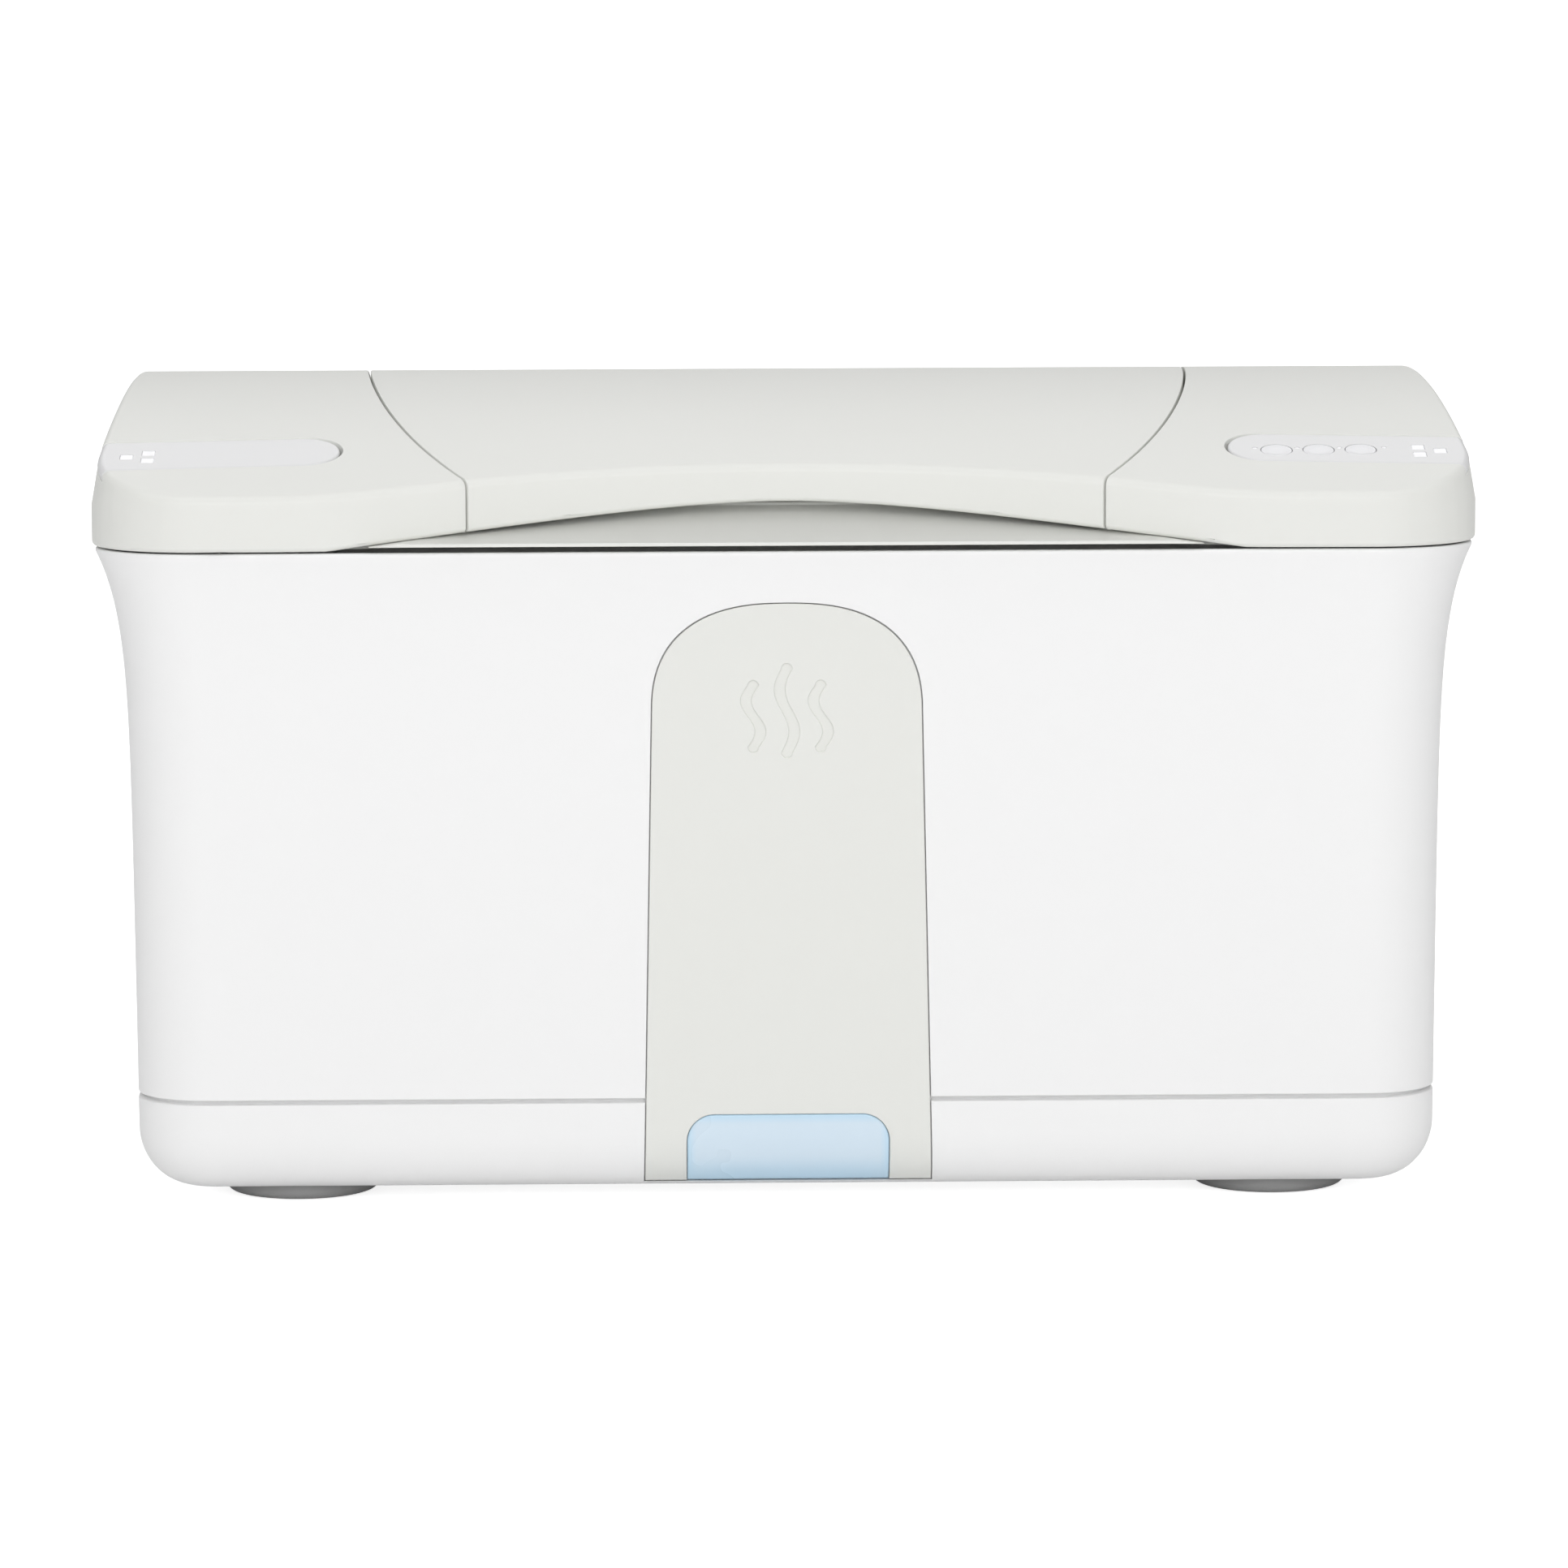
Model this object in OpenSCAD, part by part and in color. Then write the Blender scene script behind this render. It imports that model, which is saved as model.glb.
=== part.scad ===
// Baby wipe warmer: a white tub with a domed two-stage lid.
// The whole lid swings up for refilling, and the flap in its middle swings up for one wipe at a time.
// Millimetres, +X right, +Y back, +Z up. The origin is on the table, under the middle of the whole object.

/* [Body] */
// Half width of the body at the groove above the base
base_hx = 117; // [112:0.5:118]
// Half depth of the body at the groove above the base
base_hy = 84.8; // [82:0.1:86]
// Height of the feet
foot_h = 2.8; // [2:0.1:4]
// Height of the groove between the shell and the base tray
seam_z = 19.3; // [18.5:0.1:22]
// Height of the body's rim
rim_z = 118; // [116:0.5:120]
// How far the straight walls lean out from the groove to the rim
draft = 0.7; // [0.5:0.1:2]
// How far the side walls flare out at the rim
flare_x = 6; // [5:0.1:6]
// How far the front and back walls flare out at the rim
flare_y = 2.5; // [1.5:0.1:3]
// Height over which the flare dies away
flare_len = 11; // [9:0.5:13]
// Corner radius of the body in plan, low down
corner_low = 13.5; // [13:0.5:15]
// Growth of the corner radius towards the rim
corner_grow = 5; // [3:0.5:6]
// How far the rounded bottom edge reaches in
round_in = 9.5; // [8:0.5:12]
// How far the rounded bottom edge reaches up
round_up = 10.5; // [9:0.5:11]
// Width of the groove above the base tray
groove = 0.7; // [0.5:0.1:1]
// Thickness of the outer walls
wall = 2.6; // [2.4:0.1:2.8]

/* [Front panel] */
// Height of the top of the panel's arch
panel_top_z = 108.6; // [106:0.2:110]
// Height of the arch from its shoulders to its top
arch_rise = 20; // [18:0.5:22]
// Half width of the panel at its shoulders
panel_hx_top = 24; // [23:0.1:25]
// Half width of the panel at its foot
panel_hx_low = 25.7; // [25:0.1:26]
// Height of the panel's straight lower edge
panel_low_z = 4; // [3.6:0.1:5]
// Thickness of the panel
panel_t = 1.5; // [1.3:0.1:1.6]
// Half width of the night-light window
window_hx = 18.2; // [16:0.2:19]
// Height of the top of the window
window_top_z = 16.7; // [15:0.1:17.5]
// Corner radius of the window
window_r = 5; // [4:0.5:5.5]
// Height of the middle of the steam mark pressed into the panel
mark_z = 89.4; // [86:0.2:91]

/* [Lid] */
// Width of the lid
lid_w = 248; // [247:0.5:249]
// Depth of the lid
lid_d = 178; // [177:0.5:179]
// Corner radius of the lid in plan
lid_r = 20; // [18:0.5:22]
// Height of the lid's top edge at the front and the back
lid_edge_z = 127.9; // [127:0.1:129]
// Rise of the dome above that edge
dome_rise = 16.6; // [15:0.2:18]
// How far the sides lean in over the height of the dome
side_lean = 3; // [2:0.1:4]
// Radius of the lid's rounded top edge
edge_r = 1.8; // [1.5:0.1:2]
// Gap between the lid's wings and the body's rim
lid_gap = 0.3; // [0.3:0.1:0.5]
// Thickness of the lid's walls
lid_wall = 2.4; // [2.2:0.1:2.6]
// Depth of the hollow curve in the lid's front
hollow_depth = 13; // [11:0.5:14]
// Half width of the hollow curve
hollow_hx = 78; // [76:0.5:80]
// How softly the hollow curve runs out into the wings
hollow_soft = 3.5; // [2:0.5:5]
// Height of the arched lower edge in the middle of the lid's front
arch_mid_z = 125.9; // [125.5:0.1:126.2]
// Slope of the arched lower edge towards the wings
arch_slope = 0.125; // [0.12:0.001:0.13]

/* [Flap] */
// Half width that the flap reaches far back
flap_hx = 79; // [78:0.2:80]
// How much narrower the flap is at the very front, on each side
flap_neck = 27.2; // [25:0.2:29]
// Depth over which the flap widens
flap_ease = 32.4; // [30:0.2:35]
// Gap on each side of the flap
flap_gap = 0.5; // [0.45:0.05:0.7]
// Thickness of the flap's walls
flap_wall = 2.2; // [2:0.1:2.4]
// Place of the flap's hinge axis behind the middle of the lid
flap_axis_y = 60; // [56:0.5:62]
// Radius of the flap's hinge barrel
flap_barrel_r = 3.6; // [3.4:0.1:3.8]
// Radius of the flap's hinge pins
flap_pin_r = 1.25; // [1.2:0.05:1.4]

/* [Light strips and buttons] */
// Distance of the strips' inner ends from the middle
strip_in_x = 79.6; // [79:0.2:81]
// Width of a strip from front to back
strip_w = 13.4; // [12.5:0.1:14]
// Distance of the strips' middle line behind the lid's front
strip_depth = 19.8; // [19:0.1:21]
// Small turn of a strip in plan, its outer end forwards
strip_turn = 3; // [0:0.5:4]
// Thickness of a strip
strip_t = 1.9; // [1.7:0.1:2]
// Radius of a button
button_r = 2.75; // [2.5:0.05:2.8]
// Distance of the first button from the middle
button_x = 88.2; // [87:0.1:89]
// Distance from one button to the next
button_pitch = 7.55; // [7.4:0.05:7.8]
// Clear gap around a button
button_gap = 0.3; // [0.25:0.05:0.35]

/* [Tub and heater] */
// Half width of the tub's inside
tub_hx = 101; // [98:0.5:102]
// Half depth of the tub's inside
tub_hy = 66; // [62:0.5:67]
// Corner radius of the tub's inside
tub_r = 16; // [12:1:20]
// Height of the tub's floor
tub_floor_z = 36; // [35:0.5:38]
// Thickness of the tub's walls
tub_wall = 2; // [1.8:0.1:2.2]
// Height of the ledge in the shell that carries the tub
ledge_z = 113; // [112:0.5:114]

/* [Hinge and inlet] */
// Distance of each lid hinge from the middle
hinge_x = 70; // [60:1:80]
// Radius of the hinge knuckles
knuckle_r = 3; // [2.8:0.1:3.2]
// Radius of the lid's hinge pins
hinge_pin_r = 1.4; // [1.3:0.05:1.5]
// Running clearance around each pin
pin_play = 0.05; // [0.03:0.01:0.08]
// Distance of the power inlet from the middle
inlet_x = -62; // [-70:1:-50]
// Height of the power inlet
inlet_z = 27.5; // [26.5:0.5:28]

/* [Hidden] */

// Colours as they look in daylight
white = [0.96, 0.96, 0.96];
warm_grey = [0.88, 0.88, 0.86];
lilac = [0.89, 0.89, 0.92];
pale_blue = [0.80, 0.88, 0.95];
rubber_grey = [0.45, 0.45, 0.45];
steel = [0.75, 0.76, 0.78];
board_green = [0.20, 0.45, 0.30];
black = [0.12, 0.12, 0.12];

// Everything is drawn around the middle of the lid and then moved forwards,
// because the hinges stand out behind and the origin is under the middle of the whole
hinge_clear = 0.3;
hinge_y = lid_d / 2 + hinge_clear + knuckle_r;
hinge_z = rim_z + lid_gap / 2;
shift_y = -(hinge_y + knuckle_r - lid_d / 2) / 2;

lid_hx = lid_w / 2;
lid_hy = lid_d / 2;
lid_low_z = rim_z + lid_gap;

// The dome is part of a cylinder that lies along X
dome_r = (lid_hy * lid_hy + dome_rise * dome_rise) / (2 * dome_rise);
dome_mid_z = lid_edge_z + dome_rise - dome_r;
function dome(y) = dome_mid_z + sqrt(dome_r * dome_r - y * y);

// The front's hollow curve is part of an upright cylinder, whose ends run out softly into the wings
hollow_r = (hollow_hx * hollow_hx + hollow_depth * hollow_depth) / (2 * hollow_depth);
function hollow_arc(x) = sqrt(hollow_r * hollow_r - x * x) - hollow_r + hollow_depth;
function soft_arc(x) = (hollow_arc(x) + sqrt(pow(hollow_arc(x), 2) + pow(hollow_soft, 2))) / 2;
function hollow(x) = soft_arc(x) - soft_arc(lid_hx - lid_r);

// Shapes of the body at a height z
corner_steps = 9;
round_top = foot_h + round_up;
function flare(z) = exp(-(rim_z - z) / flare_len);
function lean_out(z) = draft * (z - seam_z) / (rim_z - seam_z);
function tuck(z) = z >= round_top ? 0 : 1 - sqrt(max(0, 1 - pow((round_top - z) / round_up, 2)));
function body_hx(z) = base_hx + lean_out(z) + flare_x * flare(z) - round_in * tuck(z);
function body_hy(z) = base_hy + lean_out(z) + flare_y * flare(z) - 0.9 * round_in * tuck(z);
function body_r(z) = corner_low + corner_grow * flare(z) - 0.9 * round_in * tuck(z);

// Corner signs, anticlockwise from the back right
turn_x = [1, -1, -1, 1];
turn_y = [1, 1, -1, -1];

// A rounded rectangle, as points
function rounded(hx, hy, r, steps = corner_steps) =
    [for (q = [0:3]) for (i = [0:steps])
        [turn_x[q] * (hx - r) + r * cos(90 * (q + i / steps)),
         turn_y[q] * (hy - r) + r * sin(90 * (q + i / steps))]];

// One level of the body, drawn in by an even amount
function body_ring(z, inset) =
    [for (p = rounded(body_hx(z) - inset, body_hy(z) - inset, max(body_r(z) - inset, 1)))
        [p[0], p[1], z]];

// A solid through a stack of rings. A looped stack closes on itself, as a pipe's wall does,
// and any other has its first and last rings closed by triangles around their middles.
function middle(ring) = [for (axis = [0:2]) [for (p = ring) p[axis]] * [for (p = ring) 1] / len(ring)];
module loft(rings, looped = false) {
    n = len(rings[0]);
    m = len(rings);
    sides = [for (k = [0:looped ? m - 1 : m - 2]) for (i = [0:n - 1])
        let (j = (i + 1) % n, low = k * n, up = ((k + 1) % m) * n)
        each [[low + i, up + i, up + j], [low + i, up + j, low + j]]];
    ends = looped ? [] : [for (i = [0:n - 1])
        let (j = (i + 1) % n, top = (m - 1) * n)
        each [[m * n, i, j], [m * n + 1, top + j, top + i]]];
    middles = looped ? [] : [middle(rings[0]), middle(rings[m - 1])];
    points = concat([for (ring = rings) each ring], middles);
    polyhedron(points = points, faces = concat(sides, ends), convexity = 8);
}

// Moves what was drawn around the lid's middle to its place
module placed() {
    translate([0, shift_y, 0]) children();
}

// An upright plate with the given outline
module plate(outline, z_low, z_high) {
    translate([0, 0, z_low]) linear_extrude(z_high - z_low) polygon(outline);
}

// A bar along X with the given outline in Y and Z
module bar_x(outline, x_low, x_high) {
    translate([x_low, 0, 0]) rotate([90, 0, 90]) linear_extrude(x_high - x_low) polygon(outline);
}

// A bar along Y with the given outline in X and Z
module bar_y(outline, y_low, y_high) {
    translate([0, y_high, 0]) rotate([90, 0, 0]) linear_extrude(y_high - y_low) polygon(outline);
}

// A round rod along X
module rod_x(r, x_low, x_high, y, z) {
    translate([x_low, y, z]) rotate([0, 90, 0]) cylinder(r = r, h = x_high - x_low, $fn = 48);
}

// A block between two corners
module block(low, high) {
    translate(low) cube(high - low);
}

// ---- Body ----

// Heights of the rings from the groove up to the rim, close together where the wall flares
shell_low_z = seam_z + groove / 2;
shell_zs = [shell_low_z, 40, 60, 76, 86, 94, 100, 104, 108, 111, 113.5, 115.5, 117];

// Half width of the front panel at a height
function panel_hx(z) = let (shoulder = panel_top_z - arch_rise)
    z < shoulder
        ? panel_hx_low + (panel_hx_top - panel_hx_low) * (z - panel_low_z) / (shoulder - panel_low_z)
        : panel_hx_top * pow(max(0, 1 - pow((z - shoulder) / arch_rise, 2.5)), 1 / 2.5);

// Front panel's levels: even steps up the straight part, then closer and closer up the arch
panel_levels = concat(
    [for (i = [0:5]) panel_low_z + (round_top - panel_low_z) * i / 5],
    [for (i = [1:6]) round_top + (panel_top_z - arch_rise - round_top) * i / 6],
    [for (a = [10:10:80]) panel_top_z - arch_rise * (1 - sin(a))],
    [panel_top_z - 0.12]);

// A slab that follows the body's front, between two depths below its surface
module front_slab(side, outer, inner, z_extra) {
    loft([for (i = [0:len(panel_levels) - 1])
        let (z = panel_levels[i],
             hx = panel_hx(z) + side,
             up = i == 0 ? -z_extra : (i == len(panel_levels) - 1 ? z_extra : 0),
             y = -body_hy(z + up))
        [[hx, y + inner, z + up], [-hx, y + inner, z + up],
         [-hx, y - outer, z + up], [hx, y - outer, z + up]]]);
}

panel_gap = 0.2;
hinge_plate_hx = 15;
hinge_plate_y = 85;
hinge_plate_low_z = 100;

module outer_shell() color(white) placed() difference() {
    loft(concat(
        [for (z = shell_zs) body_ring(z, 0)],
        [body_ring(rim_z - 0.35, 0.25), body_ring(rim_z, 0.9)],
        [body_ring(rim_z, 1.9), body_ring(ledge_z, 1.9), body_ring(ledge_z - 0.01, 3.6)],
        [body_ring(ledge_z - 4, 3.6), body_ring(ledge_z - 7, wall), body_ring(70, wall)],
        [body_ring(shell_low_z, wall)]), looped = true);
    front_slab(panel_gap, 4, panel_t, panel_gap);
    for (x = [-hinge_x, hinge_x])
        block([x - hinge_plate_hx - 0.1, hinge_plate_y, hinge_plate_low_z - 0.1],
              [x + hinge_plate_hx + 0.1, hinge_plate_y + 10, ledge_z + 0.1]);
    translate([inlet_x, body_hy(inlet_z) + 2, inlet_z]) rotate([90, 0, 0])
        cylinder(r = bezel_r + 0.1, h = 8, $fn = 64);
}

// The tray's levels climb its rounded bottom edge in even turns
tray_top_z = seam_z - groove / 2;
tray_floor = 2.4;
lip_h = 2; // How far the tray's inner lip stands up into the shell
tray_round = [for (a = [0:15:90]) foot_h + round_up * (1 - cos(a))];
tray_inner = [for (a = [90:-18:0]) foot_h + tray_floor + (round_up - 0.6) * (1 - cos(a))];
foot_x = 88;
foot_y = 62;
screw_spots = [for (x = [-foot_x, foot_x]) for (y = [-foot_y, foot_y]) [x, y]];
post_r = 4;
post_top_z = 19;

module base_tray() color(white) placed() difference() {
    union() {
        loft(concat(
            [for (z = tray_round) body_ring(z, 0)],
            [body_ring(tray_top_z, 0), body_ring(tray_top_z, 3.1), body_ring(tray_top_z + lip_h, 3.1)],
            [body_ring(tray_top_z + lip_h, 4.4), body_ring(tray_top_z - 1.5, 4.4)],
            [body_ring(tray_top_z - 3, wall)],
            [for (z = tray_inner) body_ring(z, wall)]));
        for (p = screw_spots)
            translate([p[0], p[1], foot_h + 1]) cylinder(r = post_r, h = post_top_z - foot_h - 1, $fn = 48);
        for (p = board_spots)
            translate([p[0], p[1], foot_h + 1]) cylinder(r = 3, h = board_z - foot_h - 1, $fn = 32);
    }
    for (p = board_spots) translate([p[0], p[1], foot_h + tray_floor]) cylinder(r = 1.45, h = 10, $fn = 32);
    front_slab(panel_gap, 4, panel_t, panel_gap);
    for (p = screw_spots) {
        translate([p[0], p[1], foot_h - 1]) cylinder(r = 1.8, h = 30, $fn = 48);
        translate([p[0], p[1], foot_h - 1]) cylinder(r = 3.2, h = 3.5, $fn = 48);
    }
}

// One stroke of the steam mark, a wavy band as points
function wave(height, half) = concat(
    [for (i = [0:16]) [1.3 * sin(360 * i / 16) - half, height * (i / 16 - 0.5)]],
    [for (i = [16:-1:0]) [1.3 * sin(360 * i / 16) + half, height * (i / 16 - 0.5)]]);

mark_deep = 0.4;
module steam_mark() {
    y = -body_hy(mark_z) + mark_deep;
    for (i = [-1:1])
        translate([i * 6, 0, mark_z - abs(i)])
            bar_y(wave(15 - 4 * abs(i), 0.95), y - 3, y);
}

module window_outline(grow) {
    hx = window_hx + grow;
    top = window_top_z + grow;
    points = concat(
        [[hx, panel_low_z - 3]],
        [for (a = [0:15:90]) [hx - window_r + window_r * cos(a), top - window_r + window_r * sin(a)]],
        [for (a = [90:15:180]) [-hx + window_r + window_r * cos(a), top - window_r + window_r * sin(a)]],
        [[-hx, panel_low_z - 3]]);
    bar_y(points, -lid_hy - 5, -lid_hy + 22);
}

module front_panel() color(warm_grey) placed() difference() {
    front_slab(0, 0, panel_t, 0);
    steam_mark();
    window_outline(0);
}

window_sink = 0.4;
module window_lens() color(pale_blue) placed() intersection() {
    front_slab(0, -window_sink, panel_t, 0);
    window_outline(-0.1);
}

module foot(x, y) {
    translate([x, y + shift_y, 0]) rotate_extrude($fn = 64)
        polygon([[0, 0], [10.5, 0], [12, 0.25], [13.2, 0.8], [13.8, 1.5], [14, 2.2],
                 [14, foot_h], [0, foot_h]]);
}
module foot_front_left() color(rubber_grey) foot(-foot_x, -foot_y);
module foot_front_right() color(rubber_grey) foot(foot_x, -foot_y);
module foot_rear_left() color(rubber_grey) foot(-foot_x, foot_y);
module foot_rear_right() color(rubber_grey) foot(foot_x, foot_y);

module base_screws() color(steel) placed() for (p = screw_spots)
    translate([p[0], p[1], foot_h + 0.3]) {
        cylinder(r = 2.9, h = 1.9, $fn = 32);
        cylinder(r = 1.4, h = 24, $fn = 32);
    }

// The tub hangs on the shell's ledge, and its posts take the base screws
tub_low_z = tub_floor_z - tub_wall;
module inner_tub() color(white) placed() difference() {
    union() {
        plate(rounded(tub_hx + tub_wall, tub_hy + tub_wall, tub_r + tub_wall), tub_low_z, ledge_z + 1);
        plate(rounded(body_hx(ledge_z) - 2.3, body_hy(ledge_z) - 2.3, body_r(ledge_z)), ledge_z, ledge_z + 2);
        for (p = screw_spots)
            translate([p[0], p[1], post_top_z])
                cylinder(r = post_r, h = tub_low_z - post_top_z + 1, $fn = 48);
    }
    plate(rounded(tub_hx, tub_hy, tub_r), tub_floor_z, ledge_z + 10);
    for (p = screw_spots)
        translate([p[0], p[1], post_top_z - 1]) cylinder(r = 1.45, h = 11, $fn = 48);
}

heater_hx = 76;
heater_hy = 48;
plate_t = 1.5;
film_t = 0.6;
sheet_t = 4;
module heater_plate() color(steel) placed()
    plate(rounded(heater_hx, heater_hy, 8, 4), tub_low_z - plate_t, tub_low_z);
module heater_film() color([0.75, 0.45, 0.15]) placed()
    plate(rounded(heater_hx - 4, heater_hy - 4, 6, 4), tub_low_z - plate_t - film_t, tub_low_z - plate_t);

sheet_top_z = tub_low_z - plate_t - film_t;
sensor_spot = [20, 30];
fuse_spot = [-30, 30];
lead_spots = [[-50, -20], [-50, -14]];
module insulation_sheet() color([0.85, 0.85, 0.80]) placed() difference() {
    plate(rounded(heater_hx - 2, heater_hy - 2, 7, 4), sheet_top_z - sheet_t, sheet_top_z);
    translate([sensor_spot[0], sensor_spot[1], 0]) cylinder(r = 5, h = 60, $fn = 32);
    block([fuse_spot[0] - 9, fuse_spot[1] - 4, 0], [fuse_spot[0] + 9, fuse_spot[1] + 4, 60]);
    for (p = lead_spots) translate([p[0], p[1], 0]) cylinder(r = 1.5, h = 60, $fn = 32);
}
module thermistor() color(black) placed()
    translate([sensor_spot[0], sensor_spot[1], sheet_top_z - 3]) cylinder(r = 2.5, h = 3, $fn = 32);
module thermal_fuse() color(steel) placed()
    rod_x(1.9, fuse_spot[0] - 6, fuse_spot[0] + 6, fuse_spot[1], sheet_top_z - 1.9);

board_hx = 55;
board_hy = 32;
board_z = 9;
board_t = 1.6;
board_spots = [for (x = [-1, 1]) for (y = [-1, 1]) [x * (board_hx - 4), y * (board_hy - 4)]];
module main_board() color(board_green) placed() difference() {
    plate(rounded(board_hx, board_hy, 2, 3), board_z, board_z + board_t);
    for (p = board_spots) translate([p[0], p[1], 0]) cylinder(r = 1.6, h = 30, $fn = 32);
}
// Chips, coil and capacitors on the board
module board_parts() color(black) placed() {
    top = board_z + board_t;
    block([-30, -8, top], [-18, 4, top + 1.6]);
    block([-5, -12, top], [7, 0, top + 6]);
    for (x = [20, 32]) translate([x, 10, top]) cylinder(r = 4, h = 9, $fn = 32);
    block([-48, -22, top], [-40, -10, top + 4.5]);
}
module board_screws() color(steel) placed() for (p = board_spots)
    translate([p[0], p[1], foot_h + tray_floor]) {
        cylinder(r = 1.4, h = board_z + board_t - foot_h - tray_floor, $fn = 32);
        translate([0, 0, board_z + board_t - foot_h - tray_floor]) cylinder(r = 2.6, h = 1.6, $fn = 32);
    }
module heater_leads() color([0.7, 0.1, 0.1]) placed() for (p = lead_spots)
    translate([p[0], p[1], board_z + board_t])
        cylinder(r = 0.9, h = sheet_top_z - board_z - board_t, $fn = 24);

// The night light stands behind the window in the base
light_y = -body_hy(12) + wall + 2.5;
module night_light_board() color(board_green) placed()
    block([-24, light_y + 1, foot_h + tray_floor], [24, light_y + 2.6, tray_top_z - 1]);
module night_light_leds() color([1, 1, 0.9]) placed() for (x = [-12:6:12])
    block([x - 1.4, light_y, 10], [x + 1.4, light_y + 1, 12.8]);

// The inlet: a ring in the shell, a socket behind it and the socket's centre pin
bezel_r = 6.8;
bezel_bore_r = 5.5;
bezel_t = 3;
inlet_face_y = body_hy(inlet_z);
socket_y = inlet_face_y - bezel_t;
socket_len = 13;
module inlet_rod(r, from_y, to_y, sides = 48) {
    translate([inlet_x, to_y, inlet_z]) rotate([90, 0, 0]) cylinder(r = r, h = to_y - from_y, $fn = sides);
}
module dc_bezel() color(black) placed() difference() {
    inlet_rod(bezel_r, socket_y, inlet_face_y + 0.4, 64);
    inlet_rod(bezel_bore_r, socket_y - 1, inlet_face_y + 1, 64);
}
module dc_socket() color(black) placed() difference() {
    block([inlet_x - 6, socket_y - socket_len, inlet_z - 5.5], [inlet_x + 6, socket_y, inlet_z + 5.5]);
    inlet_rod(2.85, socket_y - 9.5, socket_y + 1);
    inlet_rod(1.05, socket_y - 11, socket_y - 9);
}
module dc_centre_pin() color(steel) placed() inlet_rod(1.05, socket_y - 11, socket_y - 0.8);

// ---- Lid hinge, between the body and the lid ----

ear_in = 7;
ear_out = 15;
module body_hinge(x) {
    placed() translate([x, 0, 0]) difference() {
        union() {
            block([-hinge_plate_hx, hinge_plate_y, hinge_plate_low_z],
                  [hinge_plate_hx, lid_hy, ledge_z]);
            for (s = [-1, 1]) {
                low = s < 0 ? -ear_out : ear_in;
                rod_x(knuckle_r, low, low + ear_out - ear_in, hinge_y, hinge_z);
                bar_x([[lid_hy - 1.2, ledge_z - 9], [lid_hy + 1, ledge_z - 9],
                       [hinge_y + knuckle_r * 0.6, hinge_z - knuckle_r * 0.8],
                       [hinge_y, hinge_z], [lid_hy + hinge_clear, hinge_z],
                       [lid_hy - 0.6, rim_z - 2.5], [lid_hy - 0.6, ledge_z - 1]],
                      low, low + ear_out - ear_in);
            }
        }
        rod_x(hinge_pin_r, -ear_out - 1, ear_out + 1, hinge_y, hinge_z);
    }
}
module body_hinge_left() color(white) body_hinge(-hinge_x);
module body_hinge_right() color(white) body_hinge(hinge_x);

module lid_pin(x) {
    placed() rod_x(hinge_pin_r, x - ear_out + 0.4, x + ear_out - 0.4, hinge_y, hinge_z);
}
module lid_pin_left() color(steel) lid_pin(-hinge_x);
module lid_pin_right() color(steel) lid_pin(hinge_x);

leaf_hx = ear_in - 0.3;
module lid_hinge(x) {
    placed() translate([x, 0, 0]) difference() {
        union() {
            rod_x(knuckle_r, -leaf_hx, leaf_hx, hinge_y, hinge_z);
            block([-leaf_hx, lid_hy, hinge_z], [leaf_hx, lid_hy + 1.6, lid_edge_z - 3]);
            bar_x([[lid_hy + 0.4, hinge_z], [hinge_y, hinge_z],
                   [hinge_y + knuckle_r * 0.6, hinge_z + knuckle_r * 0.8],
                   [lid_hy + 1.4, lid_edge_z - 3.5], [lid_hy + 0.4, lid_edge_z - 3.5]], -leaf_hx, leaf_hx);
            block([-ear_out + 1, lid_hy, hinge_z + knuckle_r + 0.7],
                  [ear_out - 1, lid_hy + 1.6, lid_edge_z - 2]);
        }
        rod_x(hinge_pin_r + pin_play, -leaf_hx - 1, leaf_hx + 1, hinge_y, hinge_z);
    }
}
module lid_hinge_left() color(warm_grey) lid_hinge(-hinge_x);
module lid_hinge_right() color(warm_grey) lid_hinge(hinge_x);

// ---- Lid ----

arc_steps = 26;
// The lid's outline in plan, drawn in by an inset
function lid_outline(inset) = concat(
    [for (q = [3, 0, 1, 2]) for (i = [0:corner_steps])
        [turn_x[q] * (lid_hx - lid_r) + (lid_r - inset) * cos(90 * (q + i / corner_steps)),
         turn_y[q] * (lid_hy - lid_r) + (lid_r - inset) * sin(90 * (q + i / corner_steps))]],
    [for (i = [1:arc_steps - 1])
        let (x = (lid_hx - lid_r) * (2 * i / arc_steps - 1))
        [x, hollow(x) + inset - lid_hy]]);

// The sides lean in above the lid's edge
function lean_in(x, z) =
    side_lean * max(0, z - lid_edge_z) / dome_rise * max(0, (abs(x) - 90) / (lid_hx - 90));
function leaned(p, z) = [p[0] - sign(p[0]) * lean_in(p[0], z), p[1], z];
// A level of the lid at a fixed height, but no closer to the dome than a drop
function lid_ring(inset, z_most, drop) =
    [for (p = lid_outline(inset)) leaned(p, min(z_most, dome(p[1]) - drop))];

// A cylinder along X under the dome's surface
module dome_rod(drop) {
    translate([-lid_hx - 5, 0, dome_mid_z]) rotate([0, 90, 0])
        cylinder(r = dome_r - drop, h = lid_w + 10, $fn = 360);
}

// The lid's whole outer form, before it is split. Sink lowers and draws in its surface.
high = 300;
module lid_form(sink = 0) {
    intersection() {
        loft(concat(
            [lid_ring(0.3 + sink, lid_low_z, 0), lid_ring(sink, lid_low_z + 0.5, 0)],
            [lid_ring(sink, lid_edge_z - 0.5, edge_r + 0.3)],
            [for (a = [0:22.5:90])
                lid_ring(sink + edge_r * (1 - cos(a)), high, 0.03 + sink + edge_r * (1 - sin(a)))],
            [lid_ring(sink + edge_r, lid_edge_z + 2 * dome_rise, -high)]));
        dome_rod(sink);
    }
}

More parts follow.
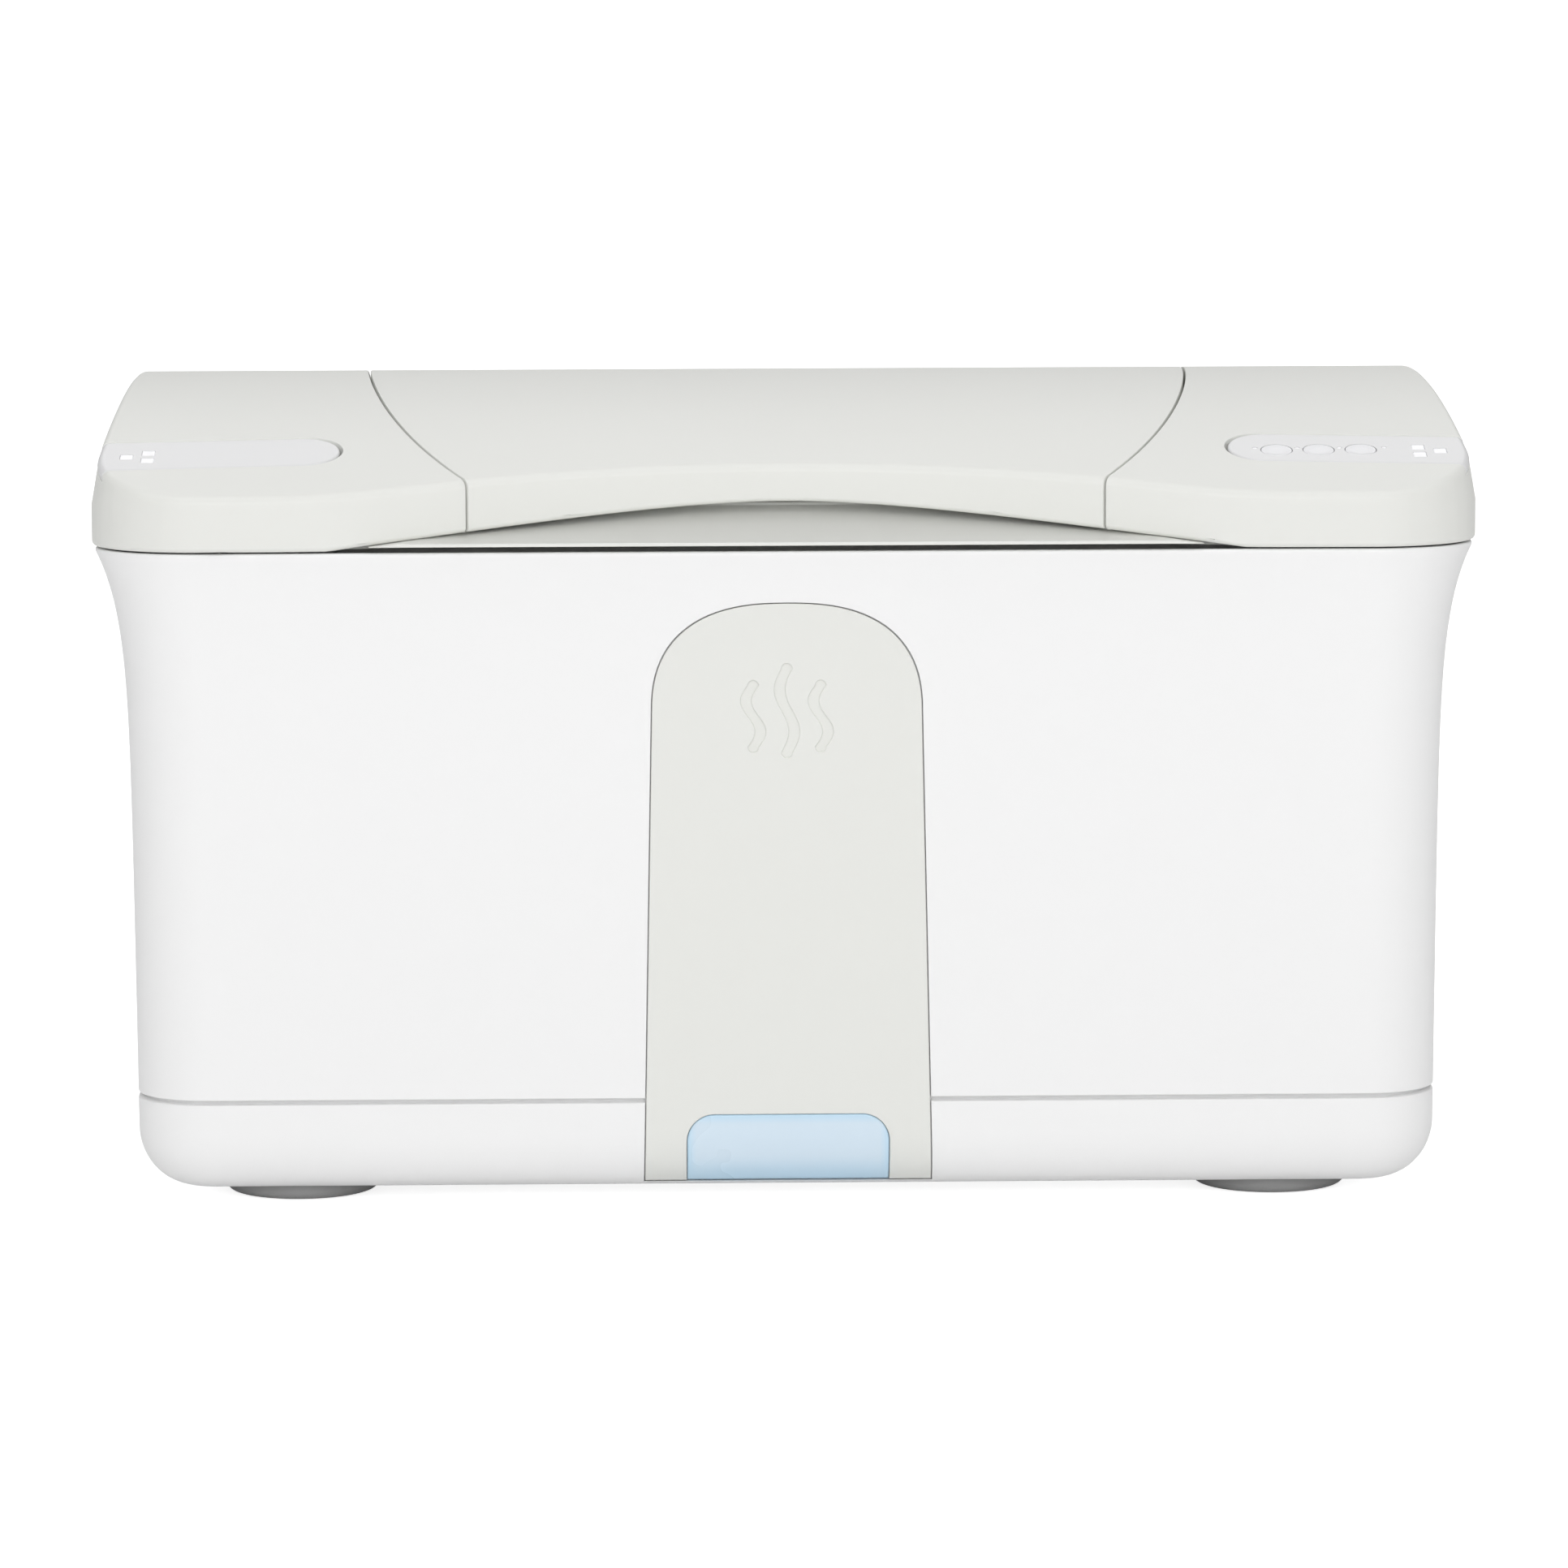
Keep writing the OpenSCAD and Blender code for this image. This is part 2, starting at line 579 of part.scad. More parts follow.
// The flap's outline in plan, drawn in by a side gap, between two distances behind the front
flap_rear = lid_hy + flap_axis_y;
flap_depths = [-4, 0, 3, 6, 10, 14, 19, 25, 32, 40, 50, 62, 78, 100, 125];
function flap_half(depth) = flap_hx - flap_neck * exp(-depth / flap_ease);
function flap_outline(gap, rear) = concat(
    [for (d = concat(flap_depths, [rear])) [flap_half(d) - gap, d - lid_hy]],
    [for (i = [len(flap_depths):-1:0])
        let (d = concat(flap_depths, [rear])[i]) [gap - flap_half(d), d - lid_hy]]);

// The arched lower edge across the front, as a shape to take away
function arch_z(x) = arch_mid_z + 3 - sqrt(9 + pow(arch_slope * x, 2));
arch_hx = 79.5;
module arch_cut() {
    bar_y(concat(
        [[arch_hx, lid_low_z - 10]],
        [for (i = [0:24]) let (x = arch_hx * (1 - i / 12)) [x, arch_z(x)]],
        [[-arch_hx, lid_low_z - 10]]), -lid_hy - 5, -lid_hy + 22);
}

// The ramp under the flap's front, where a finger goes in
lip_low_z = lid_low_z + 0.8;
lip_top_z = lip_low_z + 0.6;
ramp_len = 20;
well_z = lip_top_z + 5.6;
function ramp_z(depth) = lip_top_z + (well_z - lip_top_z) * pow(depth / ramp_len, 2);
module ramp(hx, low_z, lift, reach) {
    bar_x(concat(
        [[-lid_hy - reach, low_z]],
        [[-lid_hy + ramp_len + reach, low_z], [-lid_hy + ramp_len + reach, well_z + lift]],
        [for (i = [10:-1:0]) let (d = ramp_len * i / 10) [d - lid_hy, ramp_z(d) + lift]],
        reach > 0 ? [[-lid_hy - reach, lip_top_z + lift]] : []), -hx, hx);
}

// The middle line of a light strip, turned a little in plan
module strip_plan(side, grow) {
    hw = strip_w / 2 + grow;
    translate([side * 100, strip_depth - lid_hy, 100]) rotate([0, 0, -side * strip_turn]) linear_extrude(60)
        polygon(concat(
            [[side * 40, -hw], [side * 40, hw]],
            [for (a = [90:15:270]) let (r = hw)
                [side * (strip_in_x - 100 - grow + r + r * cos(a)), r * sin(a)]]));
}

// The space over a strip's plan, down to a depth below the dome
strip_ledge = 1.2;
strip_sink = 0.2;
module strip_space(side, grow, depth) {
    difference() {
        strip_plan(side, grow);
        dome_rod(depth);
    }
}

// The strip's own frame: its floor is the dome's surface under the buttons
strip_y = strip_depth - 1 - lid_hy;
strip_tilt = asin(-strip_y / dome_r);
module on_strip(x) {
    translate([x, strip_y, dome(strip_y)]) rotate([strip_tilt, 0, 0]) children();
}

flap_axis_z = dome_mid_z + sqrt(pow(dome_r - flap_barrel_r - 0.1, 2) - flap_axis_y * flap_axis_y);
strip_back_y = flap_axis_y + flap_barrel_r + 0.9;
plate_z = lid_low_z + 0.2;
plate_top_z = plate_z + 1.6;
module lid_top() color(warm_grey) placed() difference() {
    lid_form();
    // Hollow wings and hollow back strip, with walls left along the flap
    difference() {
        intersection() {
            union() {
                plate(lid_outline(lid_wall), plate_z - 5, lid_edge_z - 1);
                plate(lid_outline(lid_wall + side_lean), plate_z - 5, high);
            }
            dome_rod(lid_wall);
        }
        difference() {
            plate(flap_outline(-lid_wall, flap_rear + 7.5), 0, high);
            block([-200, strip_back_y + lid_wall, 0], [200, 200, high]);
        }
        block([-82, -lid_hy - 1, 0], [82, -lid_hy + 10, high]);
        for (p = liner_spots) translate([p[0], p[1], 0]) cylinder(r = 3.5, h = high, $fn = 32);
        for (side = [-1, 1]) strip_space(side, strip_ledge + 0.9, lid_wall + 1.2);
    }
    for (p = liner_spots) translate([p[0], p[1], 0])
        cylinder(r = liner_screw_r + 0.05, h = plate_top_z + 9, $fn = 32);
    // Room for the flap and its swing
    plate(flap_outline(0, strip_back_y + lid_hy), 0, high);
    bar_x([[flap_axis_y, flap_axis_z], [strip_back_y, flap_axis_z], [strip_back_y + 5, flap_axis_z + 10],
           [flap_axis_y, flap_axis_z + 10]], -flap_hx, flap_hx);
    // Room for the liner's plate, the ramp and the arch
    plate(lid_outline(lid_wall), 0, plate_top_z + 0.2);
    ramp(79.5, lid_low_z - 5, 0.4, 3);
    arch_cut();
    // Each strip lies on a ledge around an opening to the boards below
    for (side = [-1, 1]) {
        strip_space(side, 0.15, strip_t + strip_sink);
        intersection() {
            strip_space(side, -strip_ledge, lid_wall + 1.7);
            block([-lid_hx + 6, -lid_hy, 0], [lid_hx - 6, lid_hy, high]);
        }
    }
    rod_x(flap_pin_r + 0.3, -100, 100, flap_axis_y, flap_axis_z);
}

// Dispensing opening, its raised collar, and the skirt that drops into the tub
opening_hx = 52;
opening_hy = 24;
opening_r = 22;
opening_y = 2;
collar_z = well_z + 2;
function ring_at(hx, hy, r, y) = [for (p = rounded(hx, hy, r)) [p[0], p[1] + y]];
liner_spots = [for (x = [-112, 112]) for (y = [-50, 50]) [x, y]];
liner_screw_r = 1.4;
board_posts = [-112, -90, 90, 112];
module lid_liner() color(warm_grey) placed() difference() {
    union() {
        plate(lid_outline(lid_wall + 0.3), plate_z, plate_top_z);
        intersection() {
            for (x = board_posts) translate([x, strip_y, plate_z]) cylinder(r = 2, h = 20, $fn = 32);
            on_strip(0) block([-200, -20, -50], [200, 20, wing_board_top - wing_board_t]);
        }
        intersection() {
            plate(flap_outline(0.3, strip_back_y + lid_hy - 0.3), plate_z, well_z);
            block([-200, -lid_hy + ramp_len - 1, 0], [200, 200, high]);
        }
        ramp(78.9, lip_low_z, 0, 0);
        plate(ring_at(opening_hx + 3, opening_hy + 3, opening_r + 3, opening_y), plate_z, collar_z);
        plate(rounded(tub_hx - 1, tub_hy - 1, tub_r - 1), ledge_z, plate_z + 0.5);
    }
    intersection() {
        plate(flap_outline(2.3, strip_back_y + lid_hy - 2.3), plate_z - 9, well_z - 2);
        block([-200, -lid_hy + ramp_len + 1, 0], [200, 200, high]);
        plate(rounded(tub_hx - 3, tub_hy - 3, tub_r - 3), 0, high);
    }
    plate(rounded(tub_hx - 3, tub_hy - 3, tub_r - 3), ledge_z - 1, plate_z);
    plate(ring_at(opening_hx, opening_hy, opening_r, opening_y), 0, high);
    for (p = liner_spots) translate([p[0], p[1], 0]) cylinder(r = 1.6, h = high, $fn = 32);
}
module liner_screws() color(steel) placed() for (p = liner_spots)
    translate([p[0], p[1], plate_z - 1.5]) {
        cylinder(r = 2.6, h = 1.5, $fn = 32);
        cylinder(r = liner_screw_r, h = 10, $fn = 32);
    }

// Soft ring between the lid and the tub's flange
module lid_seal() color([0.9, 0.9, 0.9]) placed() difference() {
    plate(rounded(tub_hx + 6.5, tub_hy + 6.5, tub_r + 5), ledge_z + 2.3, plate_z);
    plate(rounded(tub_hx + 3.5, tub_hy + 3.5, tub_r + 2), 0, high);
}

// Light strips: a clear slip in a slot over each wing
tile_spots = [[113.7, 1.1], [113.7, -2.5], [117.5, -0.8]];
tile_half = 1.2;
tile_deep = 0.6;
module tile_holes(side, grow, z_low, z_high) {
    for (p = tile_spots) on_strip(side * p[0])
        block([-tile_half - grow, p[1] - tile_half - grow, z_low],
              [tile_half + grow, p[1] + tile_half + grow, z_high]);
}
module strip_slip(side) {
    difference() {
        intersection() {
            lid_form(strip_sink);
            strip_plan(side, 0);
        }
        dome_rod(strip_t + strip_sink);
        tile_holes(side, 0, -tile_deep - strip_sink, 5);
    }
}
button_xs = [for (i = [0:2]) button_x + i * button_pitch];
indicator_xs = [85.3 - 0.9, 92.0, 99.55, 107.6];
indicator_y = 1.1;
indicator_r = 0.5;
module left_light_strip() color(lilac) placed() strip_slip(-1);
module right_control_strip() color(lilac) placed() difference() {
    strip_slip(1);
    for (x = button_xs) on_strip(x) translate([0, 0, -8])
        cylinder(r = button_r + button_gap, h = 16, $fn = 48);
    for (x = indicator_xs) on_strip(x) translate([0, indicator_y, -8])
        cylinder(r = indicator_r, h = 16, $fn = 24);
}
module left_light_tiles() color([1, 1, 1]) placed() tile_holes(-1, -0.05, -tile_deep - strip_sink, -0.15);
module right_light_tiles() color([1, 1, 1]) placed() tile_holes(1, -0.05, -tile_deep - strip_sink, -0.15);

wing_board_top = -7;
wing_board_t = 1.6;
module wing_board(side, x_low, x_high) {
    on_strip(0) block([side > 0 ? x_low : -x_high, -7, wing_board_top - wing_board_t],
                      [side > 0 ? x_high : -x_low, 7, wing_board_top]);
}
module left_light_board() color(board_green) placed() wing_board(-1, 84, 118);
module control_board() color(board_green) placed() wing_board(1, 83, 118);
module indicator_lights() color([0.7, 1, 0.8]) placed() for (x = indicator_xs)
    on_strip(x) translate([0, indicator_y, wing_board_top])
        cylinder(r = indicator_r - 0.05, h = -wing_board_top - 0.3, $fn = 24);

button_travel = 0.6;
switch_top = -4.2;
module button_switches() color(black) placed() for (x = button_xs)
    on_strip(x) block([-2.2, -2.2, wing_board_top], [2.2, 2.2, switch_top - button_travel]);
module button(x) {
    placed() on_strip(x) {
        translate([0, 0, -1.6]) cylinder(r = button_r, h = 1.5, $fn = 48);
        translate([0, 0, switch_top]) cylinder(r = 1.2, h = -switch_top - 1, $fn = 32);
    }
}
module power_button() color(lilac) button(button_xs[0]);
module heat_button() color(lilac) button(button_xs[1]);
module light_button() color(lilac) button(button_xs[2]);

// ---- Flap ----

flap_plate_z = 129;
flap_plate_t = 1.5;
module flap_shell() color(warm_grey) placed() difference() {
    intersection() {
        lid_form();
        plate(flap_outline(flap_gap, flap_rear), 0, high);
    }
    intersection() {
        plate(flap_outline(flap_gap + flap_wall, flap_rear + 1), 0, high);
        plate(lid_outline(flap_wall), 0, high);
        dome_rod(flap_wall);
    }
    arch_cut();
    ramp(90, 0, 0.7, 3);
    block([-200, -lid_hy + ramp_len, 0], [200, 200, well_z + 0.7]);
    rod_x(flap_barrel_r + 0.02, -90, 90, flap_axis_y, flap_axis_z);
}
module flap_barrel() color(warm_grey) placed() difference() {
    rod_x(flap_barrel_r, -flap_hx + 1.2, flap_hx - 1.2, flap_axis_y, flap_axis_z);
    for (x = [-flap_hx + 14, flap_hx - 14])
        rod_x(flap_pin_r + pin_play, x - 13, x + 13, flap_axis_y, flap_axis_z);
}
module flap_pin(side) {
    placed() rod_x(flap_pin_r, side > 0 ? flap_hx - 10 : -flap_hx - 7, side > 0 ? flap_hx + 7 : -flap_hx + 10,
                   flap_axis_y, flap_axis_z);
}
module flap_pin_left() color(steel) flap_pin(-1);
module flap_pin_right() color(steel) flap_pin(1);

// The brackets behind the well's side walls hold the flap's pins
module flap_bracket(side) {
    low = side > 0 ? flap_hx + lid_wall : -flap_hx - lid_wall - 6;
    placed() difference() {
        intersection() {
            block([low, flap_axis_y - 6, flap_axis_z - 6], [low + 6, flap_axis_y + 4, flap_axis_z + 10]);
            dome_rod(lid_wall + 0.05);
        }
        rod_x(flap_pin_r, low - 1, low + 7, flap_axis_y, flap_axis_z);
    }
}
module flap_bracket_left() color(warm_grey) flap_bracket(-1);
module flap_bracket_right() color(warm_grey) flap_bracket(1);

module flap_liner() color(warm_grey) placed() intersection() {
    plate(flap_outline(flap_gap + flap_wall, flap_rear - 6), flap_plate_z, flap_plate_z + flap_plate_t);
    plate(lid_outline(flap_wall), 0, high);
    dome_rod(flap_wall + 0.05);
}
module flap_seal() color([0.9, 0.9, 0.9]) placed() difference() {
    plate(ring_at(opening_hx + 3, opening_hy + 3, opening_r + 3, opening_y), collar_z + 0.3, flap_plate_z);
    plate(ring_at(opening_hx, opening_hy, opening_r, opening_y), 0, high);
}

outer_shell();
base_tray();
front_panel();
window_lens();
inner_tub();
foot_front_left();
foot_front_right();
foot_rear_left();
foot_rear_right();
base_screws();
night_light_board();
night_light_leds();
heater_plate();
heater_film();
insulation_sheet();
thermistor();
thermal_fuse();
main_board();
board_parts();
board_screws();
heater_leads();
dc_socket();
dc_centre_pin();
dc_bezel();
body_hinge_left();
body_hinge_right();
lid_pin_left();
lid_pin_right();
lid_top();
lid_liner();
lid_seal();
lid_hinge_left();
lid_hinge_right();
left_light_strip();
right_control_strip();
left_light_board();
control_board();
left_light_tiles();
right_light_tiles();
indicator_lights();
button_switches();
liner_screws();
flap_bracket_left();
flap_bracket_right();
flap_pin_left();
flap_pin_right();
flap_shell();
flap_liner();
flap_seal();
flap_barrel();
power_button();
heat_button();
light_button();
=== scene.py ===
# %% [markdown]
# # A baby wipe warmer, from its CAD frame to a studio picture
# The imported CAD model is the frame: it says where each piece is and what it moves with.
# This lesson loads it, models the visible covers again with soft edges and true curves,
# gives every piece a finish, and lights the whole like a catalogue picture.

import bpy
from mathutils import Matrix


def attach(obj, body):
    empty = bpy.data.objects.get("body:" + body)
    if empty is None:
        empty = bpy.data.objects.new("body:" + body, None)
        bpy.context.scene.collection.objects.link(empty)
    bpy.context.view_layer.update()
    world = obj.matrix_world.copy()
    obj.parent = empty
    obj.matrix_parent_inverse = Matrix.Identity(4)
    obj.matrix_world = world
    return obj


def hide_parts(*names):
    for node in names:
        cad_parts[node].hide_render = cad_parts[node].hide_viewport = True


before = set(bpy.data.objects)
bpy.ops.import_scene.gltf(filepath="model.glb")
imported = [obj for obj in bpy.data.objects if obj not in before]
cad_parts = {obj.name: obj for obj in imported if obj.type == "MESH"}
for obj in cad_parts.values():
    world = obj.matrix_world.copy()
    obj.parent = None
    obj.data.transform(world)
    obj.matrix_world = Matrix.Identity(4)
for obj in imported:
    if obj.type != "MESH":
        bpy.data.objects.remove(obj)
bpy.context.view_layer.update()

from math import asin, cos, exp, pi, radians, sin, sqrt

import bmesh
import bpy
from mathutils import Matrix, Vector

# %% [markdown]
# ## Measures
# All numbers below are in millimetres around the middle of the lid, as on a drawing.
# The frame's origin is under the middle of the whole object, hinges included, which lies
# a little further back, so one function turns a drawing's point into a place in the scene.

# %% From the drawing to the scene
mm = 0.001
DRAWING_SHIFT = -3.15


def at(x, y, z):
    """The place in the scene, in metres, of a point of the drawing."""
    return Vector((x, y + DRAWING_SHIFT, z)) * mm


print("the middle of the lid's front edge is at", tuple(at(0, -89, 127.9)))

# %% [markdown]
# ## Camera
# The picture was taken from the front with a long lens, a little above the lid and looking
# 7 degrees down. Such a camera keeps the sides nearly parallel. It stands a little to the left,
# turned back by a degree, and is rolled by a fifth of one, because the picture's level lines
# climb slightly to the right. The picture's focal length is known in its own pixels.

# %% Camera
bpy.ops.object.select_all(action="DESELECT")
bpy.ops.object.camera_add(
    location=(-0.023, -1.2921, 0.2241), rotation=(radians(83), radians(0.2), radians(-1.092)))
camera = bpy.context.object
camera.name = "picture_camera"
PICTURE_PIXELS, FOCAL_PIXELS = 1932, 8406
camera.data.sensor_width = 36
camera.data.lens = FOCAL_PIXELS / PICTURE_PIXELS * camera.data.sensor_width
camera.data.clip_end = 100
bpy.context.scene.camera = camera
print("camera lens:", round(camera.data.lens, 1), "mm")

# %% [markdown]
# ## Helpers for nodes
# Materials and the studio are built from nodes. These short helpers add a node with its values,
# and open a node group with named sockets.


# %% Small helpers for nodes
def add(tree, kind, **inputs):
    """A new shader node with the given values on its inputs."""
    node = tree.nodes.new("ShaderNode" + kind)
    for name, value in inputs.items():
        node.inputs[name.replace("_", " ")].default_value = value
    return node


def wire(tree, *pairs):
    """Links each pair of sockets, from the first to the second."""
    for source, target in pairs:
        tree.links.new(source, target)


def new_group(name, inputs, outputs):
    """An empty node group with named sockets, and its two end nodes."""
    group = bpy.data.node_groups.new(name, "ShaderNodeTree")
    for title, kind, value in inputs:
        socket = group.interface.new_socket(name=title, in_out="INPUT", socket_type="NodeSocket" + kind)
        socket.default_value = value
    for title, kind in outputs:
        group.interface.new_socket(name=title, in_out="OUTPUT", socket_type="NodeSocket" + kind)
    return group, group.nodes.new("NodeGroupInput"), group.nodes.new("NodeGroupOutput")


print("node helpers: add, wire, new_group")

# %% [markdown]
# ## Studio
# White plastic shows its form only by small differences in grey. An even white surrounding
# gives the sides and the underside their light, a wide panel near the camera makes the front
# the brightest side, and a second one overhead and behind brings the lid's top up. A third
# shows only as a reflection: it draws thin bright lines along the rounded edges. The floor is
# pale and glows a little, like the lit table that such pictures are taken on.

# %% Floor
bpy.ops.mesh.primitive_plane_add(size=120, location=(0, 0, -0.0002))
floor = bpy.context.object
floor.name = "floor"
floor_paint = bpy.data.materials.new("lit_table")
floor_paint.use_nodes = True
table_shader = floor_paint.node_tree.nodes["Principled BSDF"]
table_shader.inputs["Base Color"].default_value = (0.86, 0.86, 0.86, 1)
table_shader.inputs["Roughness"].default_value = 0.9
table_shader.inputs["Emission Color"].default_value = (1, 1, 1, 1)
glow_seen = add(floor_paint.node_tree, "Math")
glow_seen.operation = "MULTIPLY_ADD"
GLOW_ADDED_IN_VIEW, GLOW = 0.75, 0.05
glow_seen.inputs[1].default_value, glow_seen.inputs[2].default_value = GLOW_ADDED_IN_VIEW, GLOW
looking = add(floor_paint.node_tree, "LightPath")
wire(floor_paint.node_tree,
     (looking.outputs["Is Camera Ray"], glow_seen.inputs[0]),
     (glow_seen.outputs[0], table_shader.inputs["Emission Strength"]))
floor.data.materials.append(floor_paint)
print("floor:", [round(length, 1) for length in floor.dimensions], "m")


# %% Lights
def soft_light(name, place, aim, size, watts):
    """A wide soft light that shines from a place towards another."""
    bpy.ops.object.light_add(type="AREA", location=place)
    light = bpy.context.object
    light.name = name
    light.rotation_euler = (Vector(aim) - Vector(place)).to_track_quat("-Z", "Y").to_euler()
    light.data.shape = "RECTANGLE"
    light.data.size, light.data.size_y = size
    light.data.energy = watts
    light.visible_camera = False
    return light


soft_light("front_panel_light", (0, -1.7, 0.75), (0, 0, 0.08), (1.5, 0.9), 11.8)
soft_light("overhead_light", (0, 0.9, 1.25), (0, 0, 0.1), (1.6, 1.2), 4.9)
edge_light = soft_light("edge_light", (0, -0.35, 1.2), (0, -0.05, 0.12), (1.6, 0.5), 5)
edge_light.visible_diffuse = False
world = bpy.data.worlds.new("white_room")
bpy.context.scene.world = world
world.use_nodes = True
world.node_tree.nodes["Background"].inputs["Color"].default_value = (1, 1, 1, 1)
toward = add(world.node_tree, "TexCoord")
parts = add(world.node_tree, "SeparateXYZ")
room = add(world.node_tree, "MapRange")
ROOM_BELOW, ROOM_ABOVE, ROOM_ADDED_IN_VIEW = 0.49, 0.60, 0.55
room.inputs["To Min"].default_value, room.inputs["To Max"].default_value = ROOM_BELOW, ROOM_ABOVE
looking = add(world.node_tree, "LightPath")
room_seen = add(world.node_tree, "Math")
room_seen.operation = "MULTIPLY_ADD"
room_seen.inputs[1].default_value = ROOM_ADDED_IN_VIEW
wire(world.node_tree,
     (toward.outputs["Generated"], parts.inputs[0]),
     (parts.outputs["Z"], room.inputs["Value"]),
     (looking.outputs["Is Camera Ray"], room_seen.inputs[0]),
     (room.outputs["Result"], room_seen.inputs[2]),
     (room_seen.outputs[0], world.node_tree.nodes["Background"].inputs["Strength"]))
bpy.context.scene.view_settings.view_transform = "Standard"

# %% [markdown]
# ## Finishes
# A moulded cover is never one even colour. Its skin has a fine grain from the eroded steel
# mould, and the plastic's flow leaves faint clouds in colour and gloss. Many pieces share
# this, so it is one node group that each material sets up for itself. The patterns read
# object coordinates: every piece's object is at the origin, so the grain has one scale.


# %% The moulded skin, shared by every plastic and rubber
skin, skin_in, skin_out = new_group(
    "moulded_skin",
    [("Color", "Color", (0.8, 0.8, 0.8, 1)), ("Roughness", "Float", 0.4),
     ("Grain Scale", "Float", 2500.0), ("Clouds", "Float", 0.03)],
    [("Color", "Color"), ("Roughness", "Float"), ("Height", "Float")])
place = add(skin, "TexCoord")
grain = add(skin, "TexNoise", Detail=3.0, Roughness=0.6)
clouds = add(skin, "TexNoise", Scale=22.0, Detail=4.0, Roughness=0.55)
darker = add(skin, "Math")
darker.operation = "MULTIPLY"
tinted = add(skin, "Mix")
tinted.data_type, tinted.blend_type = "RGBA", "MULTIPLY"
gloss = add(skin, "Math")
gloss.operation = "MULTIPLY_ADD"
gloss.inputs[1].default_value = 0.12
wire(skin,
     (place.outputs["Object"], grain.inputs["Vector"]),
     (place.outputs["Object"], clouds.inputs["Vector"]),
     (skin_in.outputs["Grain Scale"], grain.inputs["Scale"]),
     (clouds.outputs["Fac"], darker.inputs[0]),
     (skin_in.outputs["Clouds"], darker.inputs[1]),
     (darker.outputs[0], tinted.inputs["Factor"]),
     (skin_in.outputs["Color"], tinted.inputs[6]),
     (clouds.outputs["Fac"], gloss.inputs[0]),
     (skin_in.outputs["Roughness"], gloss.inputs[2]),
     (tinted.outputs[2], skin_out.inputs["Color"]),
     (gloss.outputs[0], skin_out.inputs["Roughness"]),
     (grain.outputs["Fac"], skin_out.inputs["Height"]))
tinted.inputs[7].default_value = (0.75, 0.75, 0.74, 1)
print("node group:", skin.name, "with", len(skin.nodes), "nodes")


# %% Materials with that skin
def new_material(name, **shader_values):
    """A material with the given values on its shader, its node tree and its shader."""
    paint = bpy.data.materials.new(name)
    paint.use_nodes = True
    shader = paint.node_tree.nodes["Principled BSDF"]
    for title, value in shader_values.items():
        shader.inputs[title.replace("_", " ")].default_value = value
    return paint, paint.node_tree, shader


def covered(name, group, settings, depth, distance, **shader_values):
    """A material whose colour, gloss and relief come from a node group with the given settings."""
    paint, tree, shader = new_material(name, **shader_values)
    cover = tree.nodes.new("ShaderNodeGroup")
    cover.node_tree = group
    for title, value in settings.items():
        cover.inputs[title].default_value = value
    bump = add(tree, "Bump", Strength=depth, Distance=distance)
    wire(tree,
         (cover.outputs["Color"], shader.inputs["Base Color"]),
         (cover.outputs["Roughness"], shader.inputs["Roughness"]),
         (cover.outputs["Height"], bump.inputs["Height"]),
         (bump.outputs["Normal"], shader.inputs["Normal"]))
    return paint


def moulded(name, color, roughness, grain_scale=2500.0, depth=0.04, clouds_share=0.03, **shader_values):
    """A moulded plastic or rubber. Depth is how strongly the grain shows."""
    settings = {"Color": color, "Roughness": roughness, "Grain Scale": grain_scale, "Clouds": clouds_share}
    return covered(name, skin, settings, depth, 0.0002, **shader_values)


white_plastic = moulded("white_plastic", (0.94, 0.94, 0.94, 1), 0.32)
warm_grey_plastic = moulded("warm_grey_plastic", (0.832, 0.837, 0.803, 1), 0.36)
inner_plastic = moulded("inner_plastic", (0.84, 0.845, 0.83, 1), 0.4, depth=0.06)
lilac_plastic = moulded(
    "lilac_plastic", (0.80, 0.80, 0.807, 1), 0.25, depth=0.015, Coat_Weight=0.2, Coat_Roughness=0.15)
button_plastic = moulded("button_plastic", (0.9, 0.9, 0.92, 1), 0.25, depth=0.02)
grey_rubber = moulded(
    "grey_rubber", (0.32, 0.32, 0.32, 1), 0.62, grain_scale=1500.0, depth=0.3, clouds_share=0.2)
white_silicone = moulded("white_silicone", (0.82, 0.82, 0.81, 1), 0.55, grain_scale=900.0, depth=0.12)
black_plastic = moulded("black_plastic", (0.02, 0.02, 0.02, 1), 0.45, grain_scale=1800.0, depth=0.15)
red_wire = moulded("red_wire", (0.5, 0.03, 0.03, 1), 0.4, grain_scale=1500.0, depth=0.1)
print("moulded finishes:", [
    paint.name for paint in bpy.data.materials if paint.name.endswith(("plastic", "rubber"))])

# %% [markdown]
# ## Metals, boards, film and foam
# Drawn steel and rolled sheet carry fine streaks along one direction. The streaks are a noise
# pattern squeezed by a Mapping node, shared by all the metal pieces in one group.

# %% The streaks of drawn metal
streaks, streaks_in, streaks_out = new_group(
    "drawn_streaks",
    [("Color", "Color", (0.6, 0.6, 0.6, 1)), ("Roughness", "Float", 0.3),
     ("Stretch", "Vector", (40.0, 2000.0, 2000.0))],
    [("Color", "Color"), ("Roughness", "Float"), ("Height", "Float")])
place = add(streaks, "TexCoord")
squeezed = add(streaks, "Mapping")
lines = add(streaks, "TexNoise", Scale=1.0, Detail=4.0)
shade = add(streaks, "MapRange")
shade.inputs["To Min"].default_value, shade.inputs["To Max"].default_value = 0.8, 1.05
metal_tint = add(streaks, "VectorMath")
metal_tint.operation = "SCALE"
metal_gloss = add(streaks, "Math")
metal_gloss.operation = "MULTIPLY_ADD"
metal_gloss.inputs[1].default_value = 0.2
